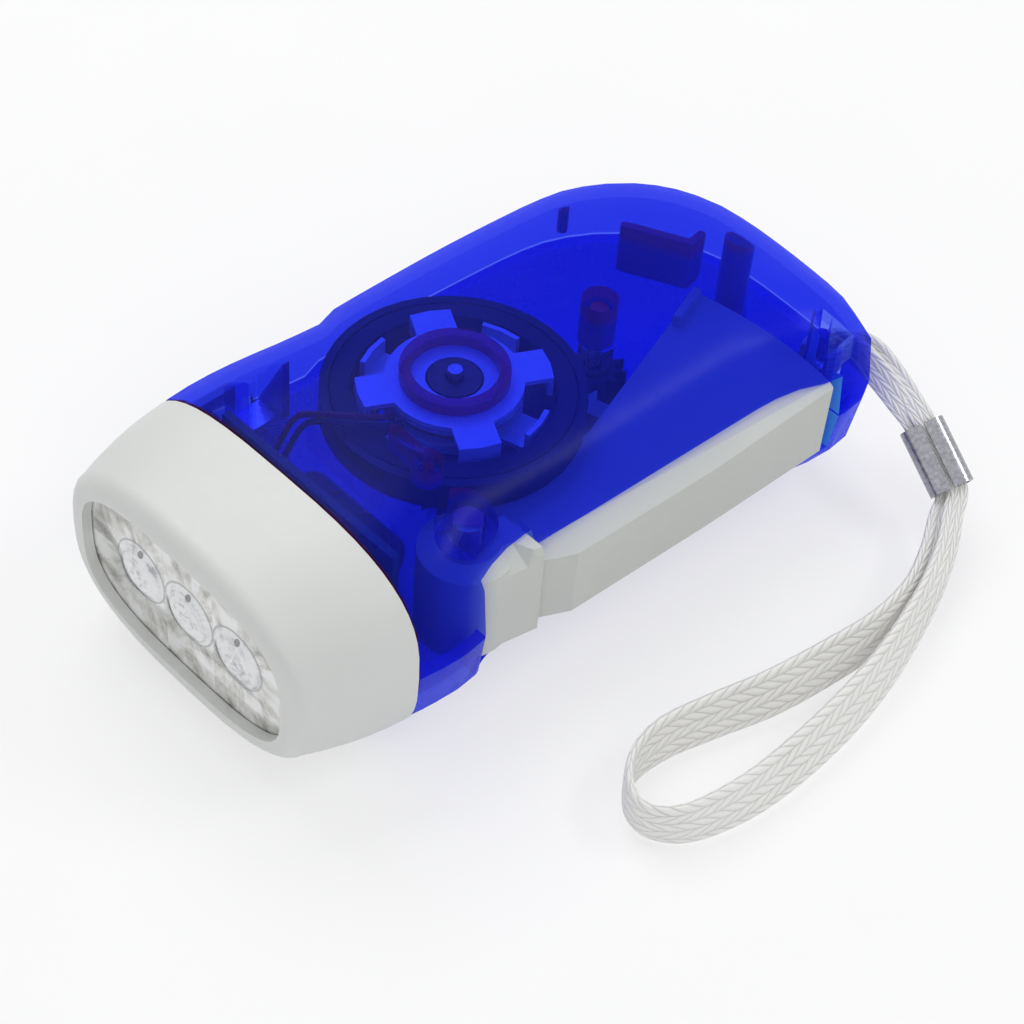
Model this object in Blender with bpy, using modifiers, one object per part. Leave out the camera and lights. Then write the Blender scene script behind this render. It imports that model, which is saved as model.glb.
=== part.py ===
"""Hand-squeeze dynamo torch: two housing halves, a lamp head, a squeeze lever and the gear train and
claw-pole generator that it drives. The torch lies on its broad face: the beam points along -Y, the
lever is on the +X side and +Z is up. Metres."""

import math

import bmesh
import bpy
import numpy as np
from mathutils import Matrix, Vector

MM = 0.001
DEG = math.pi / 180

# Fits
CLEARANCE = 0.3 * MM
RUNNING_GAP = 0.4 * MM
OVERRUN = 4 * MM
MERGE = 0.002 * MM
FLAT_SHARE = 0.9999

# Housing: its section is a superellipse about the parting plane
HOUSING_HALF_HEIGHT = 17 * MM
HOUSING_HALF_WIDTH = 27.3 * MM
HOUSING_FRONT_Y = -35.9 * MM
TAIL_LENGTH = 11.8 * MM
HOUSING_WALL = 1.8 * MM
SECTION_POWER = 3
FRONT_DROP = 0.6 * MM
FRONT_DROP_LENGTH = 16 * MM
TAIL_CENTRE_FROM_END = 22 * MM
# Each side of the plan outline, as shares of the length from the front and of the half width
RIGHT_SIDE_SHARES = ((0, 0.981), (0.06, 1.008), (0.115, 1.002), (0.155, 0.955), (0.19, 0.925), (0.25, 0.913),
                     (0.36, 0.934), (0.51, 0.957), (0.69, 0.985), (0.735, 0.994), (0.79, 1.03), (0.83, 1.085))
LEFT_SIDE_SHARES = ((0, 0.938), (0.056, 0.94), (0.125, 0.917), (0.19, 0.879), (0.265, 0.849), (0.2885, 0.85),
                    (0.308, 0.878), (0.335, 0.887), (0.5, 0.883), (0.6, 0.87), (0.69, 0.85), (0.735, 0.836),
                    (0.79, 0.805), (0.831, 0.755))
# The tail's outline from the right side round to the left one, in the same shares
TAIL_SHARES = ((0.87, 1.118), (0.91, 1.118), (0.945, 1.085), (0.967, 1.03), (0.983, 0.863), (0.992, 0.634),
               (0.998, 0.377), (1, 0.117), (0.992, -0.139), (0.961, -0.385), (0.914, -0.575), (0.871, -0.685))
SIDE_STATIONS = 20
TAIL_STATIONS = 20
LEVEL_ANGLES = (0, 18, 35, 50, 61.5, 70.5, 78)

# Neck of the housing, inside the head
NECK_LENGTH = 4 * MM
NECK_WALL = 1.5 * MM

# Head
HEAD_LENGTH = 16.6 * MM
# Half width and offset of the joint, as shares of the housing's half width
HEAD_JOINT_SHARE = 0.96
HEAD_JOINT_OFFSET_SHARE = 0.022
HEAD_RIM_HALF = (23.2 * MM, 14.9 * MM)
HEAD_MOUTH_HALF = (19.6 * MM, 11.25 * MM)
HEAD_WALL = 1.5 * MM
RIM_DEPTH = 2.2 * MM
RIM_LIP = 0.9 * MM
MOUTH_POWER = 3.1
RIM_POWER = 2.75
HEAD_BULGE_SHARE = 0.75
SECTION_POINTS = 48
RIM_RINGS = 6

# Window with its three round lenses
WINDOW_RECESS = 1.5 * MM
WINDOW_THICKNESS = 1.2 * MM
WINDOW_OVERLAP = 1 * MM
LENS_PITCH = 9.5 * MM
LENS_RADIUS = 4.7 * MM
LENS_RISE = 1.2 * MM
LAMP_COUNT = 3
DOME_POINTS = 5

# Reflector: three cups behind a flange
CUP_MOUTH_RADIUS = 5.1 * MM
CUP_THROAT_RADIUS = 3.2 * MM
CUP_DEPTH = 6.5 * MM
CUP_WALL = 0.8 * MM
FLANGE_THICKNESS = 1 * MM

# LED
LED_RADIUS = 2.5 * MM
LED_FLANGE_RADIUS = 2.9 * MM
LED_FLANGE_THICKNESS = 1 * MM
LED_LENGTH = 8.6 * MM
LED_LEAD_PITCH = 2.54 * MM
LED_LEAD_SIZE = 0.5 * MM
LED_THROAT_GAP = 2.7 * MM

# Lamp board across the neck
BOARD_HALF_WIDTH = 16.5 * MM
BOARD_HALF_HEIGHT = 10.5 * MM
BOARD_THICKNESS = 1.2 * MM
BOARD_FROM_FRONT = 2.4 * MM
BOARD_RIB_THICKNESS = 1 * MM
BOARD_RIB_OVERLAP = 1.6 * MM

# Gears
MODULE = 0.7 * MM
PRESSURE_ANGLE = 25 * DEG
BACKLASH = 0.24 * MM
ADDENDUM_SHARE = 0.88
DEDENDUM_SHARE = 1.3
SECTOR_CIRCLE_TEETH = 109
INPUT_PINION_TEETH = 12
CLUTCH_GEAR_TEETH = 30
IDLER_PINION_TEETH = 12
IDLER_GEAR_TEETH = 32
ROTOR_PINION_TEETH = 12
SHAFT_RADIUS = 1 * MM
SHAFT_SIDES = 16
BORE_RADIUS = SHAFT_RADIUS + CLEARANCE

# Axes of the mechanism
PIVOT = Vector((19 * MM, -21.3 * MM))
ROTOR = Vector((0, -6 * MM))
CLUTCH_BEARING = 112.2 * DEG

# Squeeze lever
LEVER_HALF_HEIGHT = 6.6 * MM
LEVER_REACH = 59.6 * MM
LEVER_FRONT_Y = -18 * MM
LEVER_START_X = 24.3 * MM
LEVER_KINK = (28.1 * MM, -10.2 * MM)
LEVER_WAIST = (29.4 * MM, 14 * MM)
LEVER_REAR_X = 29.9 * MM
LEVER_FACE_HALF_FRONT = 5.6 * MM
LEVER_FACE_HALF_REAR = 6.3 * MM
LEVER_BEVEL_FRONT = 4 * MM
LEVER_BEVEL_WAIST = 2.6 * MM
LEVER_BEVEL_REAR = 0.5 * MM
LEVER_INNER_KNEE = Vector((14.2 * MM, 5.7 * MM))
LEVER_INNER_BEARING = 104.2 * DEG
LEVER_PLATE = 2 * MM
LEVER_OUTER_WALL = 2 * MM
HUB_RADIUS = 6.4 * MM
HUB_FACE_HALF = 7.2 * MM
HUB_HALF_HEIGHT = 8.8 * MM
HUB_CROWN_RADIUS = 4.4 * MM
STUB_RADIUS = 1.9 * MM
STUB_LENGTH = 3.3 * MM
LUG_FRONT_X = 25.4 * MM
LUG_FACE_HALF = 6.6 * MM
LUG_REAR = (26.7 * MM, -15 * MM)
LUG_BEVEL = 3.2 * MM
LUG_RIDGE_BEVEL = 0.6 * MM
LUG_RIDGE_WIDTH = 1.2 * MM
LUG_RIDGE_RISE = 1.1 * MM
STOP_HEIGHT = 1.9 * MM
STOP_WIDTH = 1.1 * MM
STOP_LENGTH = 8 * MM
SECTOR_HALF_THICKNESS = 2 * MM
SECTOR_RIM = 3 * MM
SECTOR_TEETH = 10
SECTOR_END_BEARING = 82 * DEG
LEVER_RIB = 1.6 * MM
LEVER_RIB_BEARINGS = (80 * DEG, 99 * DEG)
LEVER_ARC_START = 60 * DEG
HUB_CORNER_SHARES = (0.5, 0.8)

# Slot for the lever in the housing's side
SLOT_FRONT_Y = -25 * MM
SLOT_REAR_GAP = 1 * MM
SLOT_INNER_X = 17 * MM

# Gear train heights above the floor of the housing
GEAR_FLOOR = 2.7 * MM
CLUTCH_GEAR_THICKNESS = 3.2 * MM
RATCHET_DEPTH = 1.7 * MM
RATCHET_RADIUS = 6 * MM
RATCHET_TOOTH = 0.8 * MM
RATCHET_TEETH = 14
RATCHET_RAMP_SHARE = 0.92
PAWL_COUNT = 3
PAWL_POINTS = 6
PAWL_POWER = 1.5
PAWL_SWEEP_SHARE = 0.8
IDLER_GEAR_THICKNESS = 3 * MM
IDLER_HUB_RADIUS = 2.4 * MM
IDLER_HUB_HEIGHT = 1.4 * MM
PINION_NECK_RADIUS = 2.3 * MM
INPUT_PINION_HALF_WIDTH = 2.5 * MM
ROTOR_PINION_OVERLAP = 0.3 * MM
ROTOR_HUB_RADIUS = 2.6 * MM

# Flywheel with its ring magnet
FLYWHEEL_RADIUS = 17.8 * MM
FLYWHEEL_WEB = 1 * MM
FLYWHEEL_HEIGHT = 4.4 * MM
FLYWHEEL_RIM = 1.2 * MM
FLYWHEEL_WINDOW_COUNT = 6
FLYWHEEL_WINDOW_RADIUS = 2.2 * MM
MAGNET_THICKNESS = 2.5 * MM

# Claw-pole stator
CLAW_RADIUS = 13.1 * MM
CLAW_WIDTH = 5.6 * MM
CLAW_THICKNESS = 0.7 * MM
CLAW_DROP = 2.6 * MM
CLAW_COUNT = 4
CLAW_BEARING = 62 * DEG
PLATE_RADIUS = 9.3 * MM
PLATE_SPACING = 4.1 * MM
POLE_RADIUS = 3.6 * MM
BOBBIN_FLANGE = 0.5 * MM
BOBBIN_BARREL_RADIUS = 4.5 * MM
COIL_RADIUS = 8.4 * MM

# Bosses, posts and ribs moulded in the upper shell
RING_BOSS_RADIUS = 7.4 * MM
RING_BOSS_WALL = 1.5 * MM
PIVOT_BOSS_RADIUS = 4.2 * MM
CLUTCH_BOSS_RADIUS = 2.6 * MM
CLUTCH_BOSS_GAP = 1 * MM
KEY_BOSS = Vector((10 * MM, -20 * MM))
KEY_TAIL = Vector((3.4 * MM, -19.6 * MM))
KEY_BOSS_RADIUS = 2.1 * MM
KEY_BORE_RADIUS = 0.7 * MM
KEY_RIB = 1.8 * MM
CAPSULE_ENDS = (Vector((-5 * MM, -26 * MM)), Vector((8 * MM, -26.7 * MM)))
CAPSULE_RIB = 2 * MM
CAPSULE_DEPTH = 7 * MM
CORNER_RIB_POINTS = (Vector((-5.6 * MM, 31.5 * MM)), Vector((3 * MM, 35.9 * MM)),
                     Vector((2.4 * MM, 38.7 * MM)))
CORNER_RIB = 1.2 * MM
PEG = Vector((-15.9 * MM, 30.1 * MM))
PEG_RADIUS = 0.8 * MM
PEG_DEPTH = 9 * MM

# Screws at the tail, in posts
# Across the torch, and forward from the end of the tail
SCREW_PLACES = (Vector((5.8 * MM, 7.9 * MM)), Vector((24 * MM, 9.8 * MM)))
SCREW_RADIUS = 0.9 * MM
SCREW_HEAD_RADIUS = 1.8 * MM
SCREW_HEAD_HEIGHT = 1.3 * MM
SCREW_SEAT_Z = 6 * MM
SCREW_LENGTH = 16 * MM
SCREW_SLOT = 0.5 * MM
SCREW_CROWN_SHARE = 0.8
SCREW_RIM_SHARE = 0.6
SCREW_CROSS_SHARE = 0.7
UPPER_POST_RADIUS = 2.2 * MM
LOWER_POST_RADIUS = 2.8 * MM

# Slide switch on the left side
SWITCH_BODY_SIZE = Vector((4 * MM, 8.5 * MM, 5 * MM))
SWITCH_CENTRE_Y = -25.2 * MM
SWITCH_INNER_X = -21.7 * MM
SWITCH_OUTER_X = -25.9 * MM
SWITCH_TRAVEL = 3 * MM
SWITCH_STEM = Vector((0, 2.4 * MM, 1.6 * MM))
SWITCH_CAP = Vector((1.2 * MM, 6.5 * MM, 4.4 * MM))
SWITCH_GRIP_RIDGES = 4
SWITCH_RIDGE = 0.5 * MM
SWITCH_CRADLE = 1.2 * MM
SWITCH_CRADLE_SHARE = 0.333
SWITCH_RIDGE_SHARE = 0.333

# Cells that store the charge
CELL_RADIUS = 5.8 * MM
CELL_THICKNESS = 5.4 * MM
CELL_COUNT = 3
CELL_GROOVE = 0.3 * MM
CELL_CENTRE = Vector((-3 * MM, -24 * MM))
CELL_RIB = 1.2 * MM
CELL_RIB_SHARES = (0.8, 0.5)

# Lever spring round its own post, under the lever's inner edge
SPRING_PLACE = Vector((13.3 * MM, -12.5 * MM))
SPRING_CORE_RADIUS = 2.1 * MM
SPRING_WIRE_RADIUS = 0.35 * MM
SPRING_TURNS = 4.25
SPRING_PITCH = 0.9 * MM
SPRING_POINTS_PER_TURN = 10
SPRING_LEG = 6 * MM
SPRING_POST_RADIUS = 0.9 * MM
SPRING_LUG = 1.2 * MM

# Wires, their routes in millimetres: from the rotor's axis at the stator's top, and from the middle of a
# cell's end
WIRE_RADIUS = 0.45 * MM
WIRE_PITCH = 1.7 * MM
COIL_WIRE_ROUTE = ((-1, -10.1, -2.8), (-1, -10.4, -1), (-1.3, -12.4, -0.4), (-3.8, -14.9, -0.4),
                   (-7, -17.9, -0.5), (-9.4, -19.3, -2), (-10, -21.6, -5.9), (-10.2, -23.2, -8.6))
CELL_WIRE_ROUTE = ((0, 0, 0), (1.2, -0.4, 0.3), (1.6, -3, 2.4))
COIL_WIRE_POINTS = 16
CELL_WIRE_POINTS = 10

# Wrist strap: width and thickness where it lies free, and its anchor at the tail
STRAP_WIDTH = 7 * MM
STRAP_THICKNESS = 1.3 * MM
STRAP_STEP_COUNT = 64
ANCHOR_X = 20.5 * MM
ANCHOR_FROM_END = 5 * MM
ANCHOR_RADIUS = 1 * MM
STRAP_SLOT_WIDTH = 6.6 * MM
STRAP_SLOT_HEIGHT = 8.8 * MM
CRIMP_LENGTH = 10 * MM
CRIMP_WALL = 0.5 * MM
CRIMP_ROWS = (8, 9, 29, 30)
CRIMP_LOBE_SHARE = 0.5
# Route of the strap in millimetres: place, then the direction of its width, then its share of full width
STRAP_ROUTE = (
    ((22.0, 44.3, 16.6), (0, 0, 1), 0.74),
    ((22.7, 46.1, 16.5), (0, 0, 1), 0.74),
    ((22.3, 49.2, 16.2), (0, 0, 1), 0.74),
    ((21.9, 51.8, 15.9), (0, 0, 1), 0.74),
    ((22.4, 53.7, 15.6), (0, 0.1, 1), 0.74),
    ((25.0, 54.2, 15.3), (0, 0.25, 1), 0.7),
    ((28.8, 53.2, 14.9), (0.05, 0.6, 0.9), 0.62),
    ((33.4, 51.9, 14.2), (0.2, 0.8, 0.55), 0.52),
    ((37.8, 50.6, 13.3), (0.3, 0.85, 0.4), 0.46),
    ((45.6, 48.7, 9.1), (0.3, 0.85, 0.4), 0.46),
    ((48.5, 45.0, 7.5), (0.6, 0.75, 0.0), 0.43),
    ((51.8, 39.6, 6.2), (0.65, 0.5, -0.5), 0.53),
    ((55.3, 31.2, 5.3), (0.55, 0.2, -0.8), 0.73),
    ((58.5, 19.8, 4.5), (0.5, 0, -0.85), 0.92),
    ((60.3, 8.5, 4.2), (0.5, 0, -0.85), 1.0),
    ((60.9, -3.2, 4.0), (0.45, 0, -0.85), 1.0),
    ((60.3, -11.5, 3.9), (0.35, 0, -0.9), 1.0),
    ((58.2, -18.9, 3.9), (0.2, 0.05, -0.95), 1.0),
    ((54.6, -22.3, 3.9), (0.05, 0.05, -1), 1.0),
    ((50.6, -21.5, 3.9), (0, 0, -1), 1.0),
    ((47.6, -17.6, 3.9), (0.1, 0, -1), 1.0),
    ((47.1, -11.4, 3.9), (0.3, 0, -0.95), 1.0),
    ((48.9, -3.8, 3.9), (0.4, 0, -0.9), 1.0),
    ((51.3, 4.6, 4.0), (0.45, 0, -0.85), 1.0),
    ((53.0, 14.0, 4.3), (0.45, 0, -0.85), 0.98),
    ((54.0, 23.4, 4.6), (0.45, 0.1, -0.85), 0.92),
    ((53.0, 31.8, 4.9), (0.55, 0.2, -0.8), 0.76),
    ((50.2, 38.9, 5.2), (0.65, 0.5, -0.5), 0.58),
    ((47.2, 44.1, 6.3), (0.6, 0.75, 0.0), 0.48),
    ((44.9, 47.8, 8.0), (0.3, 0.85, 0.4), 0.46),
    ((37.2, 49.8, 12.2), (0.3, 0.85, 0.4), 0.46),
    ((32.4, 50.9, 13.6), (0.2, 0.75, 0.6), 0.52),
    ((27.6, 52.0, 14.6), (0.05, 0.5, 0.9), 0.62),
    ((23.2, 52.4, 15.4), (0, 0.2, 1), 0.7),
    ((20.1, 51.6, 15.8), (0, 0, 1), 0.74),
    ((18.7, 49.2, 16.2), (0, 0, 1), 0.74),
    ((18.3, 46.1, 16.5), (0, 0, 1), 0.74),
    ((19.0, 44.3, 16.6), (0, 0, 1), 0.74),
)

# Colours
BLUE_PLASTIC = (0.01, 0.02, 0.75)
GREY_PLASTIC = (0.72, 0.73, 0.70)
CLEAR_PLASTIC = (0.9, 0.93, 0.95)
CHROME = (0.85, 0.85, 0.86)
STEEL = (0.55, 0.56, 0.58)
DARK_PLASTIC = (0.03, 0.03, 0.035)
FERRITE = (0.05, 0.05, 0.055)
NYLON = (0.75, 0.75, 0.70)
COPPER = (0.72, 0.33, 0.15)
BOARD_GREEN = (0.02, 0.22, 0.08)
STRAP_WHITE = (0.86, 0.85, 0.80)
WIRE_RED = (0.6, 0.03, 0.03)
WIRE_BLACK = (0.02, 0.02, 0.02)
BROWN_METAL = (0.18, 0.10, 0.07)

PARTS = bpy.data.collections.new("dynamo_torch")
CUTTERS = bpy.data.collections.new("cutters")

# Sizes and places worked out from those above
MID_Z = HOUSING_HALF_HEIGHT
SLOT_REAR_Y = PIVOT.y + LEVER_REACH + SLOT_REAR_GAP
TAIL_Y = SLOT_REAR_Y + TAIL_LENGTH
HOUSING_LENGTH = TAIL_Y - HOUSING_FRONT_Y
ANCHOR = Vector((ANCHOR_X, TAIL_Y - ANCHOR_FROM_END))
HEAD_JOINT_HALF = (HEAD_JOINT_SHARE * HOUSING_HALF_WIDTH, HOUSING_HALF_HEIGHT - FRONT_DROP)
HEAD_JOINT_OFFSET = HEAD_JOINT_OFFSET_SHARE * HOUSING_HALF_WIDTH
CLUTCH_DISTANCE = MODULE * (SECTOR_CIRCLE_TEETH + INPUT_PINION_TEETH) / 2
CLUTCH = PIVOT + CLUTCH_DISTANCE * Vector((math.cos(CLUTCH_BEARING), math.sin(CLUTCH_BEARING)))
CLUTCH_GEAR_Z = HOUSING_WALL + GEAR_FLOOR
CLUTCH_GEAR_TOP = CLUTCH_GEAR_Z + CLUTCH_GEAR_THICKNESS
IDLER_GEAR_Z = CLUTCH_GEAR_TOP + RUNNING_GAP
IDLER_GEAR_TOP = IDLER_GEAR_Z + IDLER_GEAR_THICKNESS
FLYWHEEL_Z = MID_Z + LEVER_HALF_HEIGHT + RUNNING_GAP
FLYWHEEL_TOP = FLYWHEEL_Z + FLYWHEEL_HEIGHT
MAGNET_OUTER_RADIUS = FLYWHEEL_RADIUS - FLYWHEEL_RIM - CLEARANCE
LOWER_PLATE_Z = FLYWHEEL_Z + FLYWHEEL_WEB + RUNNING_GAP
UPPER_PLATE_Z = LOWER_PLATE_Z + PLATE_SPACING
STATOR_TOP = UPPER_PLATE_Z + CLAW_THICKNESS
BOBBIN_LOW = LOWER_PLATE_Z + CLAW_THICKNESS + CLEARANCE
BOBBIN_HIGH = UPPER_PLATE_Z - CLEARANCE
HUB_TOP = MID_Z + HUB_HALF_HEIGHT
HUB_BOTTOM = MID_Z - HUB_HALF_HEIGHT
HEAD_FRONT_Y = HOUSING_FRONT_Y - HEAD_LENGTH
WINDOW_Y = HEAD_FRONT_Y + WINDOW_RECESS
FLANGE_Y = WINDOW_Y + WINDOW_THICKNESS + CLEARANCE
SLOT_HALF_HEIGHT = LEVER_HALF_HEIGHT + CLEARANCE
NOTCH_HALF_HEIGHT = HUB_HALF_HEIGHT + RUNNING_GAP
NOTCH_REAR_Y = LUG_REAR[1] + 2 * CLEARANCE
HALF_GAP = CLEARANCE / 2


# Scene

def start():
    """An empty scene with one collection for the torch and one for what cuts it."""
    for old in list(bpy.data.objects):
        bpy.data.objects.remove(old, do_unlink=True)
    scene = bpy.context.scene
    scene.collection.children.link(PARTS)
    scene.collection.children.link(CUTTERS)
    CUTTERS.hide_render = True


def material(name, colour, roughness, metallic=0.0):
    found = bpy.data.materials.get(name)
    if found:
        return found
    made = bpy.data.materials.new(name)
    made.use_nodes = True
    made.diffuse_color = (*colour, 1)
    surface = made.node_tree.nodes["Principled BSDF"]
    surface.inputs["Base Color"].default_value = (*colour, 1)
    surface.inputs["Roughness"].default_value = roughness
    surface.inputs["Metallic"].default_value = metallic
    return made


def blue():
    return material("blue_plastic", BLUE_PLASTIC, 0.3)


def grey():
    return material("grey_plastic", GREY_PLASTIC, 0.45)


def steel():
    return material("steel", STEEL, 0.3, 1)


def dark():
    return material("dark_plastic", DARK_PLASTIC, 0.5)


def nylon():
    return material("nylon", NYLON, 0.5)


# Meshes

def object_from(name, mesh, collection=CUTTERS):
    made = bpy.data.objects.new(name, mesh)
    collection.objects.link(made)
    if collection is CUTTERS:
        made.hide_render = True
        made.display_type = "WIRE"
    return made


def closed_mesh(name, work):
    """A mesh from the bmesh, its doubles merged and its faces pointing out."""
    bmesh.ops.remove_doubles(work, verts=work.verts, dist=MERGE)
    bmesh.ops.recalc_face_normals(work, faces=work.faces)
    mesh = bpy.data.meshes.new(name)
    work.to_mesh(mesh)
    work.free()
    return mesh


def evaluated(source, name):
    """A plain mesh object from a curve or from an object with modifiers; the source is removed."""
    bpy.context.view_layer.update()
    seen = source.evaluated_get(bpy.context.evaluated_depsgraph_get())
    work = bmesh.new()
    work.from_mesh(bpy.data.meshes.new_from_object(seen))
    work.transform(source.matrix_world)
    bpy.data.objects.remove(source, do_unlink=True)
    return object_from(name, closed_mesh(name, work))


def box(name, low, high):
    """A box between two corners."""
    work = bmesh.new()
    bmesh.ops.create_cube(work, size=1)
    size = Vector(high) - Vector(low)
    middle = (Vector(high) + Vector(low)) / 2
    bmesh.ops.scale(work, vec=size, verts=work.verts)
    bmesh.ops.translate(work, vec=middle, verts=work.verts)
    return object_from(name, closed_mesh(name, work))


def cylinder(name, place, radius, low, high, sides=32):
    """An upright cylinder from one height to another."""
    work = bmesh.new()
    bmesh.ops.create_cone(work, cap_ends=True, segments=sides, radius1=radius, radius2=radius,
                          depth=high - low)
    bmesh.ops.translate(work, vec=(place[0], place[1], (low + high) / 2), verts=work.verts)
    return object_from(name, closed_mesh(name, work))


def prism(name, outlines, low, high):
    """Flat outlines, the first one outside and any others holes, between two heights."""
    curve = bpy.data.curves.new(name, "CURVE")
    curve.dimensions = "2D"
    curve.fill_mode = "BOTH"
    curve.extrude = (high - low) / 2
    for outline in outlines:
        spline = curve.splines.new("POLY")
        spline.points.add(len(outline) - 1)
        for point, (x, y) in zip(spline.points, outline):
            point.co = (x, y, 0, 1)
        spline.use_cyclic_u = True
    flat = object_from(name, curve)
    flat.location.z = (low + high) / 2
    return evaluated(flat, name)


def turned(name, profile, steps, place=(0, 0, 0), forward=False, closed=False):
    """A profile of radius and height turned round an upright axis, or round one that points along -Y."""
    mesh = bpy.data.meshes.new(name)
    count = len(profile)
    edges = [(i, i + 1) for i in range(count - 1)]
    if closed:
        edges.append((count - 1, 0))
    mesh.from_pydata([(radius, 0, height) for radius, height in profile], edges, [])
    turning = object_from(name, mesh)
    screw = turning.modifiers.new("turn", "SCREW")
    screw.steps = steps
    screw.render_steps = steps
    screw.use_merge_vertices = True
    screw.merge_threshold = MERGE
    turning.location = place
    if forward:
        turning.rotation_euler.x = math.pi / 2
    made = evaluated(turning, name)
    work = bmesh.new()
    work.from_mesh(made.data)
    bmesh.ops.dissolve_verts(work, verts=[vert for vert in work.verts if is_flat_fan(vert, steps)])
    work.to_mesh(made.data)
    work.free()
    return made


def is_flat_fan(vert, steps):
    """Whether the vertex is the middle of a flat end, where all the steps meet."""
    faces = vert.link_faces
    return len(faces) == steps and all(abs(face.normal.dot(vert.normal)) > FLAT_SHARE for face in faces)


def loft(name, rings):
    """A closed skin over rings of equally many points."""
    work = bmesh.new()
    rows = [[work.verts.new(point) for point in ring] for ring in rings]
    for low, high in zip(rows, rows[1:]):
        for i, start_point in enumerate(low):
            j = (i + 1) % len(low)
            work.faces.new((start_point, low[j], high[j], high[i]))
    work.faces.new(reversed(rows[0]))
    work.faces.new(rows[-1])
    return object_from(name, closed_mesh(name, work))


def pillow(name, lines):
    """A skin over lines that run round from one side of a flat front to the other, the front filled last."""
    work = bmesh.new()
    rows = [[work.verts.new(point) for point in line] for line in lines]
    for low, high in zip(rows, rows[1:]):
        for i in range(len(low) - 1):
            work.faces.new((low[i], low[i + 1], high[i + 1], high[i]))
    bmesh.ops.remove_doubles(work, verts=work.verts, dist=MERGE)
    bmesh.ops.holes_fill(work, edges=work.edges)
    return object_from(name, closed_mesh(name, work))


def boolean(target, other, operation):
    change = target.modifiers.new(other.name, "BOOLEAN")
    change.object = other
    change.operation = operation
    change.solver = "EXACT"


def cut(target, *cutters):
    for cutter in cutters:
        boolean(target, cutter, "DIFFERENCE")


def join(target, *additions):
    for addition in additions:
        boolean(target, addition, "UNION")


def keep(target, *regions):
    for region in regions:
        boolean(target, region, "INTERSECT")


def finish(part, look, origin=None, sharp=35 * DEG):
    """Moves a piece into the torch's collection, with its look and with its origin on its own axis."""
    bpy.context.view_layer.update()
    seen = part.evaluated_get(bpy.context.evaluated_depsgraph_get())
    mesh = bpy.data.meshes.new_from_object(seen)
    mesh.name = part.name
    mesh.materials.clear()
    mesh.materials.append(look)
    mesh.shade_smooth()
    mesh.set_sharp_from_angle(angle=sharp)
    name = part.name
    part.name = name + "_blank"
    done = bpy.data.objects.new(name, mesh)
    PARTS.objects.link(done)
    if origin is not None:
        mesh.transform(Matrix.Translation(-Vector(origin)))
        done.location = origin
    return done


# Outlines

def circle(place, radius, count):
    angles = np.linspace(0, 2 * math.pi, count, endpoint=False)
    return [(place[0] + radius * math.cos(a), place[1] + radius * math.sin(a)) for a in angles]


def arc(place, radius, first, last, count):
    angles = np.linspace(first, last, count)
    return [(place[0] + radius * math.cos(a), place[1] + radius * math.sin(a)) for a in angles]


def smooth_curve(points, per_span):
    """Points along a Catmull-Rom curve through the given ones, in any number of dimensions."""
    given = np.array(points, float)
    padded = np.vstack((2 * given[0] - given[1], given, 2 * given[-1] - given[-2]))
    found = []
    for a, b, c, d in zip(padded, padded[1:], padded[2:], padded[3:]):
        for t in np.linspace(0, 1, per_span, endpoint=False):
            found.append(0.5 * (2 * b + (c - a) * t + (2 * a - 5 * b + 4 * c - d) * t**2
                                + (3 * b - a - 3 * c + d) * t**3))
    found.append(given[-1])
    return np.array(found)


def evenly(points, count):
    """The same line with its points at equal steps."""
    steps = np.linalg.norm(np.diff(points[:, :3] if points.shape[1] > 2 else points, axis=0), axis=1)
    along = np.concatenate(([0], np.cumsum(steps)))
    wanted = np.linspace(0, along[-1], count)
    return np.array([np.interp(wanted, along, column) for column in points.T]).T


def capsule(first, last, radius, count=6):
    """A rib's outline: two half circles joined by straight sides."""
    along = math.atan2(last[1] - first[1], last[0] - first[0])
    return (arc(last, radius, along - math.pi / 2, along + math.pi / 2, count)
            + arc(first, radius, along + math.pi / 2, along + 3 * math.pi / 2, count))


# Housing

def housing_outline():
    """The housing's plan outline at its parting plane: its right side, its tail and its left side."""
    dense = [smooth_curve(shares, 12) for shares in (RIGHT_SIDE_SHARES, LEFT_SIDE_SHARES)]
    fan = HOUSING_FRONT_Y + HOUSING_LENGTH - TAIL_CENTRE_FROM_END
    stations = np.linspace(HOUSING_FRONT_Y, fan, SIDE_STATIONS)
    shares = (stations - HOUSING_FRONT_Y) / HOUSING_LENGTH
    right, left = [np.interp(shares, side[:, 0], side[:, 1]) * HOUSING_HALF_WIDTH for side in dense]
    first = [(share, x) for share, x in RIGHT_SIDE_SHARES if share > shares[-1]]
    last = [(share, -x) for share, x in reversed(LEFT_SIDE_SHARES) if share > shares[-1]]
    ends = [(shares[-1], right[-1] / HOUSING_HALF_WIDTH), (shares[-1], -left[-1] / HOUSING_HALF_WIDTH)]
    tail = smooth_curve([ends[0], *first, *TAIL_SHARES, *last, ends[1]], 12)
    tail = np.column_stack((tail[:, 1] * HOUSING_HALF_WIDTH, HOUSING_FRONT_Y + tail[:, 0] * HOUSING_LENGTH))
    return stations, right, left, evenly(tail, TAIL_STATIONS + 2)[1:-1]


def inset_line(points, distance):
    """An open line moved to its left by the distance."""
    ahead = np.gradient(points, axis=0)
    ahead /= np.linalg.norm(ahead, axis=1)[:, None]
    return points + distance * np.column_stack((-ahead[:, 1], ahead[:, 0]))


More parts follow.
